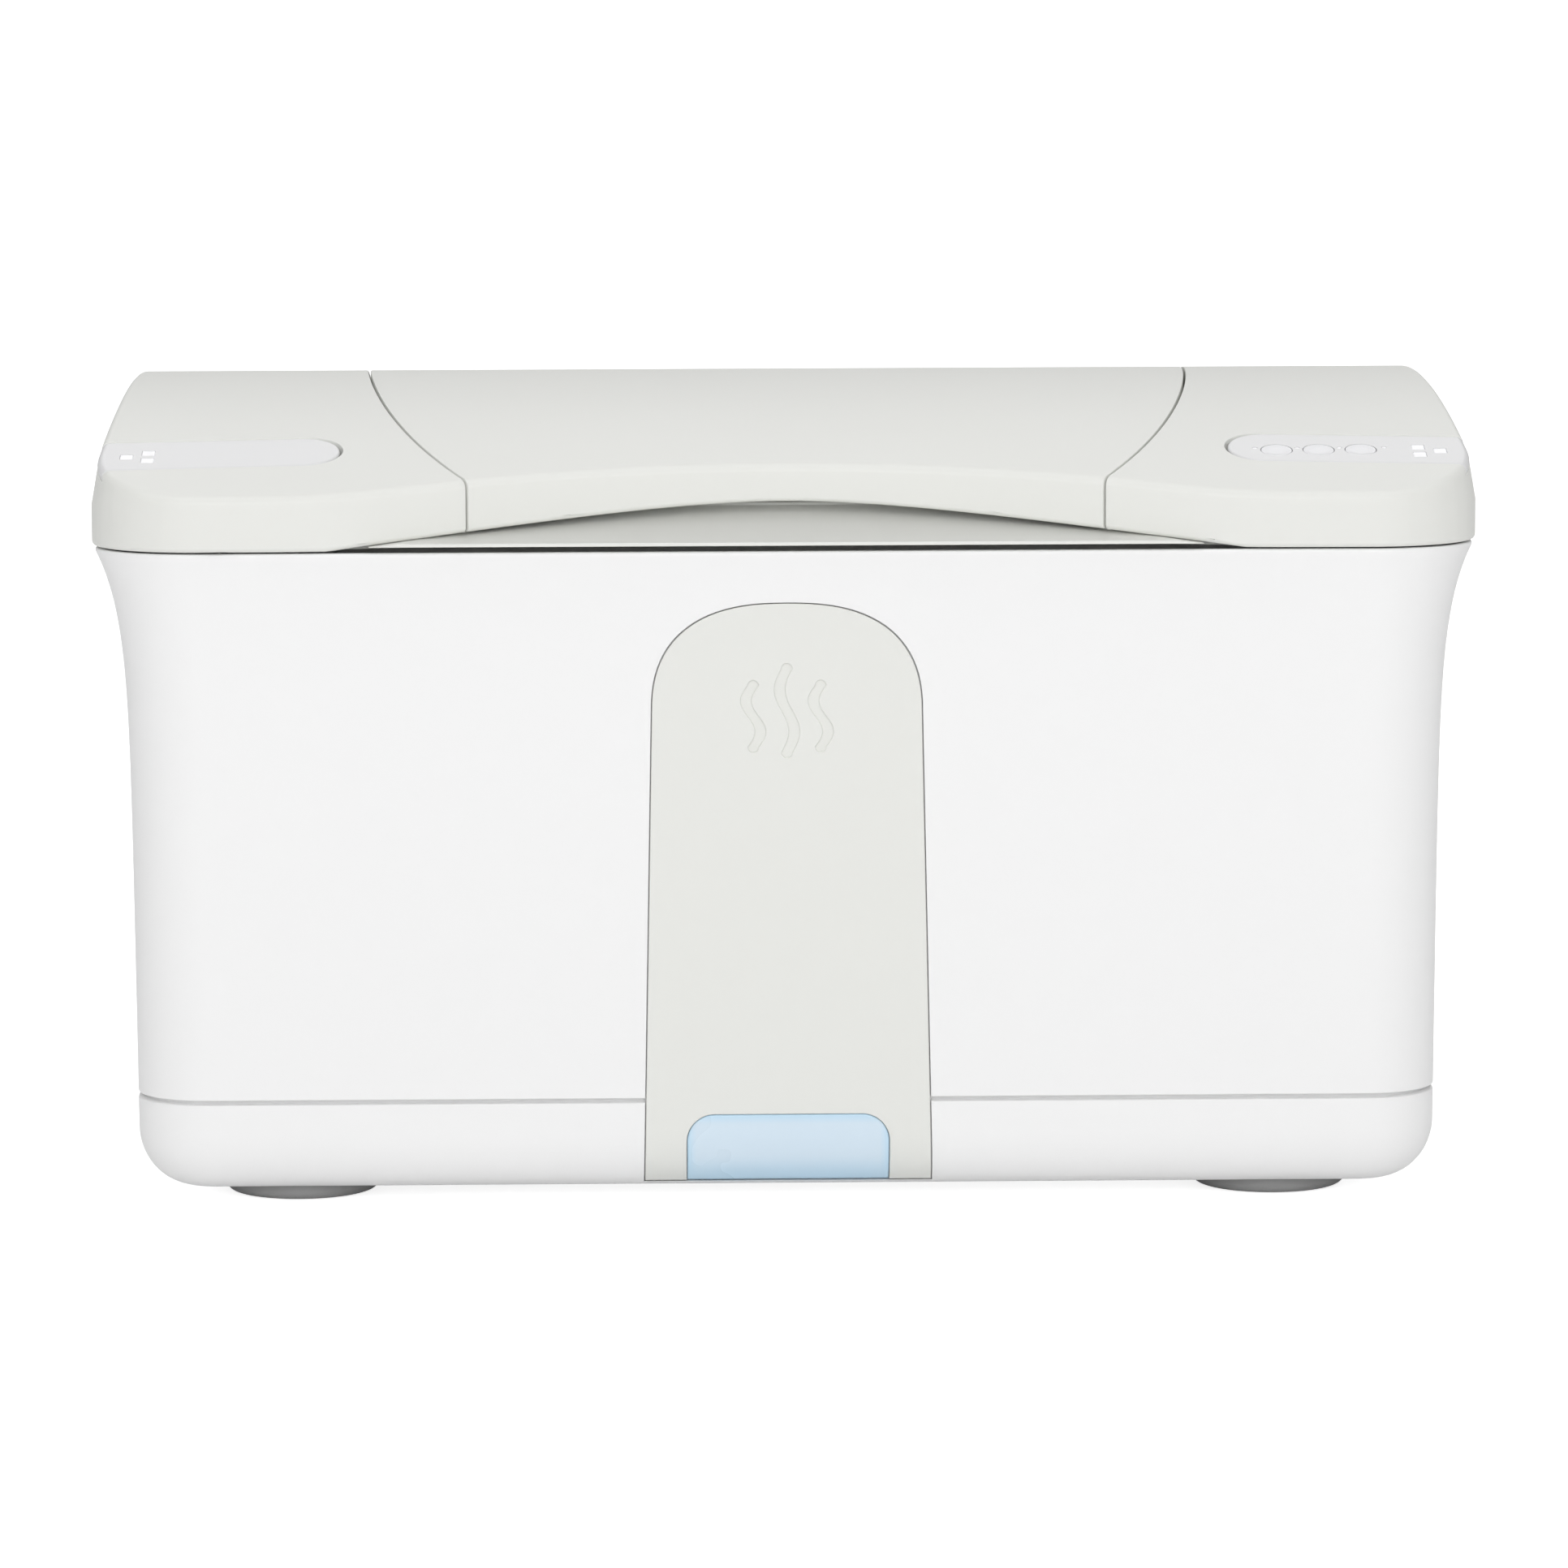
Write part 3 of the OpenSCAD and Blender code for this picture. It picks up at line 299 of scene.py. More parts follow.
wire(streaks,
     (place.outputs["Object"], squeezed.inputs["Vector"]),
     (streaks_in.outputs["Stretch"], squeezed.inputs["Scale"]),
     (squeezed.outputs["Vector"], lines.inputs["Vector"]),
     (lines.outputs["Fac"], shade.inputs["Value"]),
     (streaks_in.outputs["Color"], metal_tint.inputs[0]),
     (shade.outputs["Result"], metal_tint.inputs["Scale"]),
     (lines.outputs["Fac"], metal_gloss.inputs[0]),
     (streaks_in.outputs["Roughness"], metal_gloss.inputs[2]),
     (metal_tint.outputs["Vector"], streaks_out.inputs["Color"]),
     (metal_gloss.outputs[0], streaks_out.inputs["Roughness"]),
     (lines.outputs["Fac"], streaks_out.inputs["Height"]))
print("node group:", streaks.name, "with", len(streaks.nodes), "nodes")


# %% Metal materials
def metal(name, color, roughness, stretch, depth=0.1):
    """A metal with streaks along the axis that Stretch squeezes least."""
    settings = {"Color": color, "Roughness": roughness, "Stretch": stretch}
    return covered(name, streaks, settings, depth, 0.0001, Metallic=1)


steel = metal("steel", (0.62, 0.62, 0.63, 1), 0.22, (60.0, 3000.0, 3000.0))
aluminium_sheet = metal("aluminium_sheet", (0.78, 0.78, 0.79, 1), 0.35, (2500.0, 30.0, 2500.0), 0.2)
print("metals:", steel.name, aluminium_sheet.name)


# %% A material from one pattern: board, film and foam
def patterned(name, dark, light, roughness, pattern, depth):
    """A material whose colour and relief follow one texture node on object coordinates."""
    paint, tree, shader = new_material(name, Roughness=roughness)
    where = add(tree, "TexCoord")
    texture = pattern(tree)
    blend = add(tree, "Mix")
    blend.data_type = "RGBA"
    blend.inputs[6].default_value, blend.inputs[7].default_value = dark, light
    bump = add(tree, "Bump", Strength=depth, Distance=0.0003)
    value = texture.outputs["Fac"] if "Fac" in texture.outputs else texture.outputs["Distance"]
    wire(tree,
         (where.outputs["Object"], texture.inputs["Vector"]),
         (value, blend.inputs["Factor"]),
         (blend.outputs[2], shader.inputs["Base Color"]),
         (value, bump.inputs["Height"]),
         (bump.outputs["Normal"], shader.inputs["Normal"]))
    return paint


circuit_board = patterned(
    "circuit_board", (0.01, 0.09, 0.04, 1), (0.05, 0.24, 0.11, 1), 0.35,
    lambda tree: add(tree, "TexBrick", Scale=260.0, Mortar_Size=0.04), 0.2)
heater_film = patterned(
    "heater_film", (0.30, 0.12, 0.02, 1), (0.55, 0.27, 0.06, 1), 0.3,
    lambda tree: add(tree, "TexWave", Scale=55.0, Distortion=0.0), 0.15)
foam = patterned(
    "foam", (0.45, 0.45, 0.42, 1), (0.80, 0.80, 0.76, 1), 0.9,
    lambda tree: add(tree, "TexVoronoi", Scale=700.0), 0.8)
print("patterned finishes:", circuit_board.name, heater_film.name, foam.name)

# %% [markdown]
# ## The night-light window
# The window is a slab of pale blue, milky plastic. Its colour is painted a deeper blue along its
# rim, most of all along its lower edge, which tucks in and turns down: this is painted shade. Three
# smooth steps follow the distance to the rim in the object coordinates, and their product mixes the deep
# and the pale blue.

# %% The window's material
WINDOW_HALF, WINDOW_TOP, PANEL_LOW = 18.2, 16.7, 4.0
FADE_LOW, FADE_TOP, FADE_SIDE = 5.5, 2.2, 2.0


def smooth_step(tree, source, low, high):
    """Runs softly from 0 to 1 while the source runs from low to high."""
    step = add(tree, "MapRange")
    step.interpolation_type = "SMOOTHSTEP"
    step.inputs["From Min"].default_value, step.inputs["From Max"].default_value = low, high
    tree.links.new(source, step.inputs["Value"])
    return step.outputs["Result"]


def product(tree, first, second):
    """Multiplies two values."""
    times = add(tree, "Math")
    times.operation = "MULTIPLY"
    wire(tree, (first, times.inputs[0]), (second, times.inputs[1]))
    return times.outputs[0]


blue_window = moulded("blue_window", (1, 1, 1, 1), 0.22, depth=0.01, clouds_share=0.02, Coat_Weight=0.3)
tree = blue_window.node_tree
cover = next(n for n in tree.nodes if n.type == "GROUP")
where = add(tree, "TexCoord")
axes = add(tree, "SeparateXYZ")
sideways = add(tree, "Math")
sideways.operation = "ABSOLUTE"
wire(tree, (where.outputs["Object"], axes.inputs[0]), (axes.outputs["X"], sideways.inputs[0]))
from_low = smooth_step(tree, axes.outputs["Z"], PANEL_LOW * mm, (PANEL_LOW + FADE_LOW) * mm)
from_top = smooth_step(tree, axes.outputs["Z"], WINDOW_TOP * mm, (WINDOW_TOP - FADE_TOP) * mm)
from_side = smooth_step(tree, sideways.outputs[0], WINDOW_HALF * mm, (WINDOW_HALF - FADE_SIDE) * mm)
inner = product(tree, product(tree, from_low, from_top), from_side)
# Painted shade: the rim and the lower edge get the deeper blue, the middle keeps the pale one.
painted_rim_shade_mix = add(tree, "Mix")
painted_rim_shade_mix.data_type = "RGBA"
painted_rim_shade_mix.inputs[6].default_value = (0.58, 0.79, 0.95, 1)
painted_rim_shade_mix.inputs[7].default_value = (0.70, 0.83, 0.94, 1)
wire(tree, (inner, painted_rim_shade_mix.inputs["Factor"]), (painted_rim_shade_mix.outputs[2], cover.inputs["Color"]))
print("window material:", len(tree.nodes), "nodes")

# %% [markdown]
# ## Lit squares
# Behind the strips' outer ends sit small lit squares. Milky plastic spreads its light unevenly,
# so a fine noise on the object coordinates varies the glow.

# %% The lit squares' material
white_light = moulded("white_light", (0.95, 0.95, 0.96, 1), 0.35, depth=0.01)
tree = white_light.node_tree
glow = add(tree, "Mix")
glow.data_type = "RGBA"
glow.inputs[6].default_value, glow.inputs[7].default_value = (0.05, 0.05, 0.06, 1), (0.4, 0.4, 0.42, 1)
where = add(tree, "TexCoord")
faint = add(tree, "TexNoise", Scale=900.0, Detail=2.0)
shader = tree.nodes["Principled BSDF"]
wire(tree,
     (where.outputs["Object"], faint.inputs["Vector"]),
     (faint.outputs["Fac"], glow.inputs["Factor"]),
     (glow.outputs[2], shader.inputs["Emission Color"]))
shader.inputs["Emission Strength"].default_value = 0.6
print("lit squares:", white_light.name)

# %% [markdown]
# ## Tools for modelling
# These few helpers are the steps done by hand in the window: pick part of a mesh by its place,
# draw an outline by extruding one vertex from point to point, cut one piece with another, and
# apply a modifier. Each acts on what is selected, so everything is deselected first.


# %% Selecting
def rest():
    """Object mode, with nothing selected."""
    if bpy.context.object and bpy.context.object.mode != "OBJECT":
        bpy.ops.object.mode_set(mode="OBJECT")
    bpy.ops.object.select_all(action="DESELECT")


def activate(piece):
    """Selects one piece alone and makes it active."""
    rest()
    piece.select_set(True)
    bpy.context.view_layer.objects.active = piece


def edit(piece):
    """Opens one piece in edit mode with all of it selected."""
    activate(piece)
    bpy.ops.object.mode_set(mode="EDIT")
    bpy.ops.mesh.select_all(action="SELECT")


def named(name):
    """Gives the newest object its name."""
    piece = bpy.context.object
    piece.name = piece.data.name = name
    return piece


def pick(kind, test):
    """In edit mode, selects the VERTs, EDGEs or FACEs that pass the test, and counts them."""
    bpy.ops.mesh.select_mode(type=kind)
    bpy.ops.mesh.select_all(action="DESELECT")
    mesh = bmesh.from_edit_mesh(bpy.context.object.data)
    mesh.verts.index_update()
    items = {"VERT": mesh.verts, "EDGE": mesh.edges, "FACE": mesh.faces}[kind]
    chosen = [item for item in items if test(item)]
    for item in chosen:
        item.select_set(True)
    mesh.select_flush_mode()
    bmesh.update_edit_mesh(bpy.context.object.data)
    return len(chosen)


print("selecting: rest, activate, edit, named, pick")


# %% Changing shapes
def settle(piece):
    """Puts the object at the origin, unturned and unscaled, with its place in its mesh."""
    activate(piece)
    bpy.ops.object.transform_apply(location=True, rotation=True, scale=True)


def modify(piece, kind, **settings):
    """Adds a modifier and applies it."""
    activate(piece)
    modifier = piece.modifiers.new(kind.title(), kind)
    for title, value in settings.items():
        setattr(modifier, title, value)
    bpy.ops.object.modifier_apply(modifier=modifier.name)


def round_edges(piece, width, segments, angle, **settings):
    """Bevels every edge that turns by more than an angle."""
    modify(piece, "BEVEL", width=width * mm, segments=segments, limit_method="ANGLE",
           angle_limit=radians(angle), **settings)


def joined(pieces, name):
    """Joins pieces into one."""
    rest()
    for piece in pieces:
        piece.select_set(True)
    bpy.context.view_layer.objects.active = pieces[0]
    bpy.ops.object.join()
    return named(name)


def cut(piece, tool, operation="DIFFERENCE"):
    """Cuts a piece with a tool, or keeps what both share, and takes the tool away."""
    modify(piece, "BOOLEAN", operation=operation, solver="EXACT", object=tool)
    bpy.data.objects.remove(tool)


print("shaping: settle, modify, round_edges, joined, cut")


# %% Drawing and slicing
def trace(name, points, depth):
    """Draws a closed outline by extruding a vertex from point to point, fills it and extrudes it."""
    rest()
    bpy.ops.mesh.primitive_plane_add(size=mm, location=points[0])
    piece = named(name)
    edit(piece)
    bpy.ops.mesh.select_mode(type="VERT")
    bpy.ops.mesh.merge(type="CENTER")
    for here, there in zip(points, points[1:]):
        bpy.ops.mesh.extrude_vertices_move(TRANSFORM_OT_translate={"value": there - here})
    bpy.ops.mesh.select_all(action="SELECT")
    bpy.ops.mesh.edge_face_add()
    bpy.ops.mesh.extrude_region_move(TRANSFORM_OT_translate={"value": depth})
    bpy.ops.mesh.select_all(action="SELECT")
    bpy.ops.mesh.normals_make_consistent(inside=False)
    settle(piece)
    return piece


def rows(piece, axis, places):
    """Slices a piece across an axis at the given places, so that it can bend there."""
    edit(piece)
    normal = [float(axis == number) for number in range(3)]
    for level in places:
        bpy.ops.mesh.select_all(action="SELECT")
        bpy.ops.mesh.bisect(plane_co=[level * part for part in normal], plane_no=normal, threshold=0.00002)
    rest()


print("drawing: trace, rows")


# %% Bending in a cage
def warp(piece, low, high, counts, smooth_axis, shift):
    """Bends a piece in a lattice cage between two corners. Shift says how far each cage point moves."""
    rest()
    bpy.ops.object.add(type="LATTICE")
    cage = bpy.context.object
    grid = cage.data
    grid.points_u, grid.points_v, grid.points_w = counts
    for number, letter in enumerate("uvw"):
        kind = "KEY_BSPLINE" if number == smooth_axis else "KEY_LINEAR"
        setattr(grid, "interpolation_type_" + letter, kind)
    first = [min(point.co[i] for point in grid.points) for i in range(3)]
    last = [max(point.co[i] for point in grid.points) for i in range(3)]
    cage.scale = [(high[i] - low[i]) / (last[i] - first[i]) for i in range(3)]
    cage.location = [low[i] - first[i] * cage.scale[i] for i in range(3)]
    bpy.context.view_layer.update()
    back = cage.matrix_world.inverted()
    for point in grid.points:
        here = cage.matrix_world @ point.co
        point.co_deform = back @ (here + shift(here))
    modify(piece, "LATTICE", object=cage)
    bpy.data.objects.remove(cage)


print("bending: warp")


# %% Finishing a piece
def filled(piece):
    """The volume that a piece encloses, in cubic centimetres."""
    mesh = bmesh.new()
    mesh.from_mesh(piece.data)
    volume = mesh.calc_volume(signed=True) * 1e6
    mesh.free()
    return round(volume, 2)


def finish(piece, body, material, nodes=(), angle=32):
    """Smooths a piece, gives it its material, sets it on its body and hides the CAD nodes it stands in for.
    """
    settle(piece)
    bpy.ops.object.shade_smooth_by_angle(angle=radians(angle))
    modify(piece, "WEIGHTED_NORMAL", keep_sharp=True)
    piece.data.materials.clear()
    piece.data.materials.append(material)
    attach(piece, body)
    if nodes:
        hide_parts(*nodes)
    size = [round(length / mm, 1) for length in piece.dimensions]
    print(f"{piece.name}: {len(piece.data.polygons)} faces, {size} mm, {filled(piece)} cubic cm")
    return piece


# %% [markdown]
# ## The body's form
# The body is a tall tub whose walls lean out a little, flare at the rim and turn in at the foot,
# while its corners grow rounder towards the top. One outline can't be scaled into all of that,
# so each level is its own rectangle with bevelled corners, and the levels are bridged.


# %% The body's size at each height
RIM, SEAM, LEDGE = 118, 19.3, 113
TRAY_LOW, TRAY_ROUND = 2.8, 10.5
SEAM_HALF_WIDTH, SEAM_HALF_DEPTH, SEAM_CORNER = 117, 84.8, 13.5
LEAN = 0.7


def flare(z):
    """The share of the rim's flare at a height."""
    return exp(-(RIM - z) / 11)


def tuck(z):
    """The share of the rounded foot's inward turn at a height."""
    below = max(0, TRAY_LOW + TRAY_ROUND - z)
    return 1 - sqrt(max(0, 1 - (below / TRAY_ROUND) ** 2))


def half_width(z):
    """Half the body's width at a height."""
    return SEAM_HALF_WIDTH + LEAN * (z - SEAM) / (RIM - SEAM) + 6 * flare(z) - 9.5 * tuck(z)


def half_depth(z):
    """Half the body's depth at a height."""
    return SEAM_HALF_DEPTH + LEAN * (z - SEAM) / (RIM - SEAM) + 2.5 * flare(z) - 8.55 * tuck(z)


def corner(z):
    """The body's corner radius at a height."""
    return SEAM_CORNER + 5 * flare(z) - 8.55 * tuck(z)


print("the rim is", round(2 * half_width(RIM), 1), "by", round(2 * half_depth(RIM), 1), "mm")


# %% Levels and walls
def level(z, inset):
    """Adds one rounded level to the mesh in edit mode and gives the numbers of its vertices."""
    before = len(bmesh.from_edit_mesh(bpy.context.object.data).verts)
    middle = at(0, 0, z)
    bpy.ops.mesh.primitive_plane_add(size=2 * mm, location=middle)
    size = (half_width(z) - inset, half_depth(z) - inset, 1)
    bpy.ops.transform.resize(value=size, center_override=middle)
    bpy.ops.mesh.bevel(offset=max(corner(z) - inset, 1) * mm, segments=14, affect="VERTICES")
    bpy.ops.mesh.delete(type="ONLY_FACE")
    return range(before, len(bmesh.from_edit_mesh(bpy.context.object.data).verts))


def wall_of(name, levels, closed_ends):
    """Stacks levels and bridges them. The ends are filled, or joined to each other as in a ring."""
    rest()
    bpy.ops.mesh.primitive_plane_add(size=mm)
    piece = named(name)
    edit(piece)
    bpy.ops.mesh.delete(type="VERT")
    bpy.ops.mesh.select_mode(type="VERT")
    stack = [level(z, inset) for z, inset in levels]
    pairs = list(zip(stack, stack[1:]))
    if not closed_ends:
        pairs.append((stack[-1], stack[0]))
    for low, up in pairs:
        pick("VERT", lambda vertex: vertex.index in low or vertex.index in up)
        bpy.ops.mesh.bridge_edge_loops()
    if closed_ends:
        for end in (stack[0], stack[-1]):
            pick("VERT", lambda vertex: vertex.index in end)
            bpy.ops.mesh.edge_face_add()
    bpy.ops.mesh.select_all(action="SELECT")
    bpy.ops.mesh.normals_make_consistent(inside=False)
    settle(piece)
    return piece


SEAM_LOW, SEAM_HIGH = 18.95, 19.65
shell = wall_of("outer_cover", [
    (19.68, 0.35), (19.75, 0.12), (19.95, 0), (32, 0), (46, 0), (60, 0), (70, 0), (78, 0), (84, 0),
    (89, 0), (93, 0), (96.5, 0), (99.5, 0), (102, 0), (104.3, 0), (106.4, 0), (108.3, 0), (110, 0),
    (111.6, 0), (113, 0), (114.3, 0), (115.4, 0), (116.3, 0), (117, 0), (117.4, 0.04), (117.7, 0.16),
    (117.9, 0.4), (RIM - 0.03, 0.75), (RIM, 1.2), (RIM - 0.03, 1.5), (117.85, 1.75), (117.6, 1.9),
    (LEDGE + 0.03, 1.9), (LEDGE, 3.6), (LEDGE - 4, 3.6), (LEDGE - 7, 2.6), (70, 2.6), (SEAM_HIGH, 2.6)],
    closed_ends=False)
print("outer cover:", len(shell.data.polygons), "faces before its pockets are cut")

# %% The tray under it
turns = [TRAY_LOW + TRAY_ROUND * (1 - cos(radians(degrees))) for degrees in range(0, 91, 6)]
inner_turns = [5.2 + 9.9 * (1 - cos(radians(degrees))) for degrees in range(90, -1, -15)]
tray = wall_of("base_cover", [(z, 0) for z in turns] + [
    (18.6, 0), (18.8, 0.06), (18.9, 0.2), (SEAM_LOW, 0.45), (SEAM_LOW + 0.04, 1.5), (SEAM_HIGH - 0.02, 1.5),
    (SEAM_HIGH - 0.06, 3.1), (20.95, 3.15), (20.9, 4.4), (17.45, 4.45), (15.95, 2.6)]
    + [(z, 2.6) for z in inner_turns], closed_ends=True)
print("base cover:", len(tray.data.polygons), "faces")

# %% [markdown]
# ## The front panel
# The arched panel lies flush in a shallow pocket and follows the body's front: nearly straight,
# flared at the top and tucked in at the foot. It is drawn flat, cut, given its soft edges and
# sliced into rows while it is still flat, and only then bent by a lattice. The same drawing,
# 0.2 mm larger, is the tool that cuts the pocket.

# %% The panel's outline
PANEL_TOP, ARCH_RISE = 108.6, 20
SHOULDER = PANEL_TOP - ARCH_RISE
LOW_HALF, SHOULDER_HALF, ARCH_POWER = 25.7, 24, 2.5


def arch_half(z):
    """Half the panel's width at a height."""
    if z < SHOULDER:
        return LOW_HALF - (LOW_HALF - SHOULDER_HALF) * (z - PANEL_LOW) / (SHOULDER - PANEL_LOW)
    return SHOULDER_HALF * max(0, 1 - ((z - SHOULDER) / ARCH_RISE) ** ARCH_POWER) ** (1 / ARCH_POWER)


def slab(name, outline, front, back):
    """A slab from an outline of widths and heights, between two depths."""
    return trace(name, [Vector((x, front, z)) * mm for x, z in outline],
                 Vector((0, (back - front) * mm, 0)))


def mirrored(side):
    """The left side of an outline, from the end of its right side back to the start."""
    return [(-x, y) for x, y in reversed(side)]


def arched_slab(name, grow, front, back):
    """The flat panel, grown by an amount, between two depths in front of and behind its face."""
    heights = [PANEL_LOW - grow, 30, 60, 80]
    heights += [SHOULDER + ARCH_RISE * sin(radians(a)) ** 0.8 for a in range(0, 90, 4)]
    side = [(arch_half(z) + grow, z + (grow if z > SHOULDER else 0)) for z in heights]
    return slab(name, side + [(0, PANEL_TOP + grow)] + mirrored(side), front, back)


def follow_front(piece):
    """Bends a flat slab so that it follows the body's front."""
    steps = [PANEL_LOW + 0.9 * i for i in range(1, 11)] + list(range(18, 86, 8)) + list(range(86, 110, 2))
    rows(piece, 2, [step * mm for step in steps])
    rows(piece, 0, [x * mm for x in range(-24, 25, 4)])

    def to_front(place):
        z = min(max(place.z / mm, 3), RIM)
        return Vector((0, (DRAWING_SHIFT - half_depth(z)) * mm, 0))

    warp(piece, (-0.03, -0.01, 0.0), (0.03, 0.01, 0.1134), (2, 2, 64), 2, to_front)


panel = arched_slab("front_arch", 0, 0, 1.5)
print("flat panel:", [round(length / mm, 1) for length in panel.dimensions], "mm")


# %% The window's outline and the steam mark
def window_prism(name, grow, front, back):
    """A prism with the window's outline."""
    half, top, radius = WINDOW_HALF + grow, WINDOW_TOP + grow, 5 + grow
    turn = [radians(a) for a in range(0, 91, 6)]
    right = [(half, PANEL_LOW - 3)]
    right += [(half - radius + radius * cos(a), top - radius + radius * sin(a)) for a in turn]
    return slab(name, right + mirrored(right), front, back)


def wave_stroke(x, height):
    """A wavy stroke with round ends, as a tool 0.55 mm deep."""
    half, sway, steps = 0.95, 1.3, 24
    middle = 89.4 - abs(x) / 6
    line = [(x + sway * sin(2 * pi * i / steps), middle + height * (i / steps - 0.5))
            for i in range(steps + 1)]
    ends = [radians(a) for a in range(0, 181, 20)]
    right = [(px + half, pz) for px, pz in line[1:-1]]
    left = [(px - half, pz) for px, pz in reversed(line[1:-1])]
    top = [(line[-1][0] + half * cos(a), line[-1][1] + half * sin(a)) for a in ends]
    low = [(line[0][0] - half * cos(a), line[0][1] - half * sin(a)) for a in ends]
    return slab("stroke", right + top + left + low, -1, 0.55)


cut(panel, window_prism("window_tool", 0, -1, 3))
for x, height in ((-6, 11), (0, 15), (6, 11)):
    cut(panel, wave_stroke(x, height))


def on_face(edge):
    """True for an edge between the slab's front face and a side of it."""
    flat = [face for face in edge.link_faces
            if face.normal.y < -0.99 and abs(face.calc_center_median().y) < 0.1 * mm]
    return len(flat) == 1 and len(edge.link_faces) == 2


edit(panel)
print("soft edges on the panel:", pick("EDGE", on_face))
bpy.ops.mesh.bevel(offset=0.22 * mm, segments=3, affect="EDGES")
follow_front(panel)
finish(panel, "body", warm_grey_plastic, ["front_panel"])

# %% The window
window = arched_slab("night_light_window", 0, 0.4, 1.5)
cut(window, window_prism("window_tool", -0.1, -1, 3), "INTERSECT")
edit(window)
pick("EDGE", lambda edge: sum(face.normal.y < -0.99 for face in edge.link_faces) == 1)
bpy.ops.mesh.bevel(offset=0.35 * mm, segments=3, affect="EDGES")
follow_front(window)
finish(window, "body", blue_window, ["window_lens"])

# %% [markdown]
# ## Pockets in the body
# The pocket tool is the panel's own outline, bent in the same way. The cover also has a pocket
# for each rear hinge and a round hole for the power inlet.

# %% Cutting the pockets
for piece in (shell, tray):
    pocket = arched_slab("pocket_tool", 0.2, -5, 1.5)
    follow_front(pocket)
    cut(piece, pocket)
for x in (-70, 70):
    bpy.ops.mesh.primitive_cube_add(size=2 * mm, location=at(x, 90, 106.5), scale=(15.1, 5, 6.6))
    cut(shell, named("hinge_tool"))
bpy.ops.mesh.primitive_cylinder_add(
    vertices=64, radius=6.9 * mm, depth=12 * mm, location=at(-62, 84, 27.5), rotation=(pi / 2, 0, 0))
cut(shell, named("inlet_tool"))
finish(shell, "body", white_plastic, ["outer_shell"])
finish(tray, "body", white_plastic, ["base_tray"])

# %% [markdown]
# ## The lid's form
# Seen from the side the lid is part of a wide cylinder, 16.6 mm higher in the middle than at its
# front edge, and its sides lean in as they rise. In plan it is a rounded rectangle whose front
# is hollowed by a long shallow curve. The cover, the flap and the light strips all share this
# form, so each is modelled as a flat block, cut while it is flat, and bent over the same dome.


# %% Measures of the lid
LID_LOW, LID_FLAT, LID_WALL = 118.3, 133, 2.4
LID_WIDE, LID_DEEP, LID_CORNER = 124, 89, 20
DOME_RADIUS, DOME_CENTRE = 246.884, -102.384
TOP_ROUND, WELL_REAR, ARCH_WIDE = 1.4, 64.5, 81.4
RAMP_LENGTH, RAMP_LOW, RAMP_RISE = 20, 119.7, 5.6


def dome(y):
    """The height of the lid's top at a depth."""
    return sqrt(DOME_RADIUS ** 2 - y * y) + DOME_CENTRE


def flap_half(back):
    """Half the flap's width at a distance behind the lid's front."""
    return 79 - 27.2 * exp(-back / 32.4)


def arch_height(x):
    """The height of the arched opening under the flap's front edge."""
    return 128.9 - sqrt(9 + (0.125 * x) ** 2)


def hollow(x):
    """How far the front is hollowed: a wide arc whose ends run out softly into the wings."""
    arc = sqrt(240.5 ** 2 - x * x) - 227.5
    return (arc + sqrt(arc * arc + 3.5 ** 2)) / 2 - 0.28


print("crest at", dome(0), "mm, front edge at", round(dome(LID_DEEP), 1), "mm")


# %% Softening edges
def middle_of(item):
    """The middle of a vertex, an edge or a face, on the drawing."""
    spots = [item.co] if isinstance(item, bmesh.types.BMVert) else [vertex.co for vertex in item.verts]
    middle = sum(spots, Vector()) / len(spots) / mm
    return middle.x, middle.y - DRAWING_SHIFT, middle.z


def soften(piece, test, width, segments=3):
    """Bevels the edges that pass a test."""
    edit(piece)
    count = pick("EDGE", test)
    bpy.ops.mesh.bevel(offset=width * mm, segments=segments, affect="EDGES", clamp_overlap=False)
    rest()
    return count


def top_edge(edge):
    """True for an edge around a flat block's top."""
    return len(edge.link_faces) == 2 and sum(face.normal.z > 0.99 for face in edge.link_faces) == 1


print("edges: middle_of, soften, top_edge")


# %% Blocks in the lid's outline
def prism(name, outline, low, high):
    """An upright prism from an outline in plan."""
    return trace(name, [at(x, y, low) for x, y in outline], Vector((0, 0, (high - low) * mm)))


def lid_block(name, inset, low, high):
    """A flat block with the lid's outline, drawn in by an inset."""
    outline = [(x, inset - LID_DEEP + hollow(x)) for x in range(-102, 103, 2)]
    x, y, radius = LID_WIDE - LID_CORNER, LID_DEEP - LID_CORNER, LID_CORNER - inset
    for middle_x, middle_y, start in ((x, -y, -90), (x, y, 0), (-x, y, 90), (-x, -y, 180)):
        turn = [radians(start + 90 * step / 16) for step in range(17)]
        outline += [(middle_x + radius * cos(a), middle_y + radius * sin(a)) for a in turn]
    return prism(name, outline, low, high)


def flap_prism(gap, rear, low=100, high=150):
    """A prism with the flap's outline in plan, drawn in by a gap."""
    backs = [-4] + list(range(0, int(rear) + 86, 3)) + [rear + LID_DEEP]
    side = [(flap_half(back) - gap, back - LID_DEEP) for back in backs]
    return prism("flap_tool", side + mirrored(side), low, high)


def profile_bar(name, profile, half):
    """A bar along X from a profile of depths and heights."""
    return trace(name, [at(-half, y, z) for y, z in profile], Vector((2 * half * mm, 0, 0)))


def arch_tool():
    """The space under the arched front edge."""
    widths = [ARCH_WIDE * (1 - step / 30) for step in range(61)]
    points = [(ARCH_WIDE, 108)] + [(x, arch_height(x)) for x in widths] + [(-ARCH_WIDE, 108)]
    return trace("arch_tool", [at(x, -95, z) for x, z in points], Vector((0, 28 * mm, 0)))


print("lid tools: prism, lid_block, flap_prism, profile_bar, arch_tool")


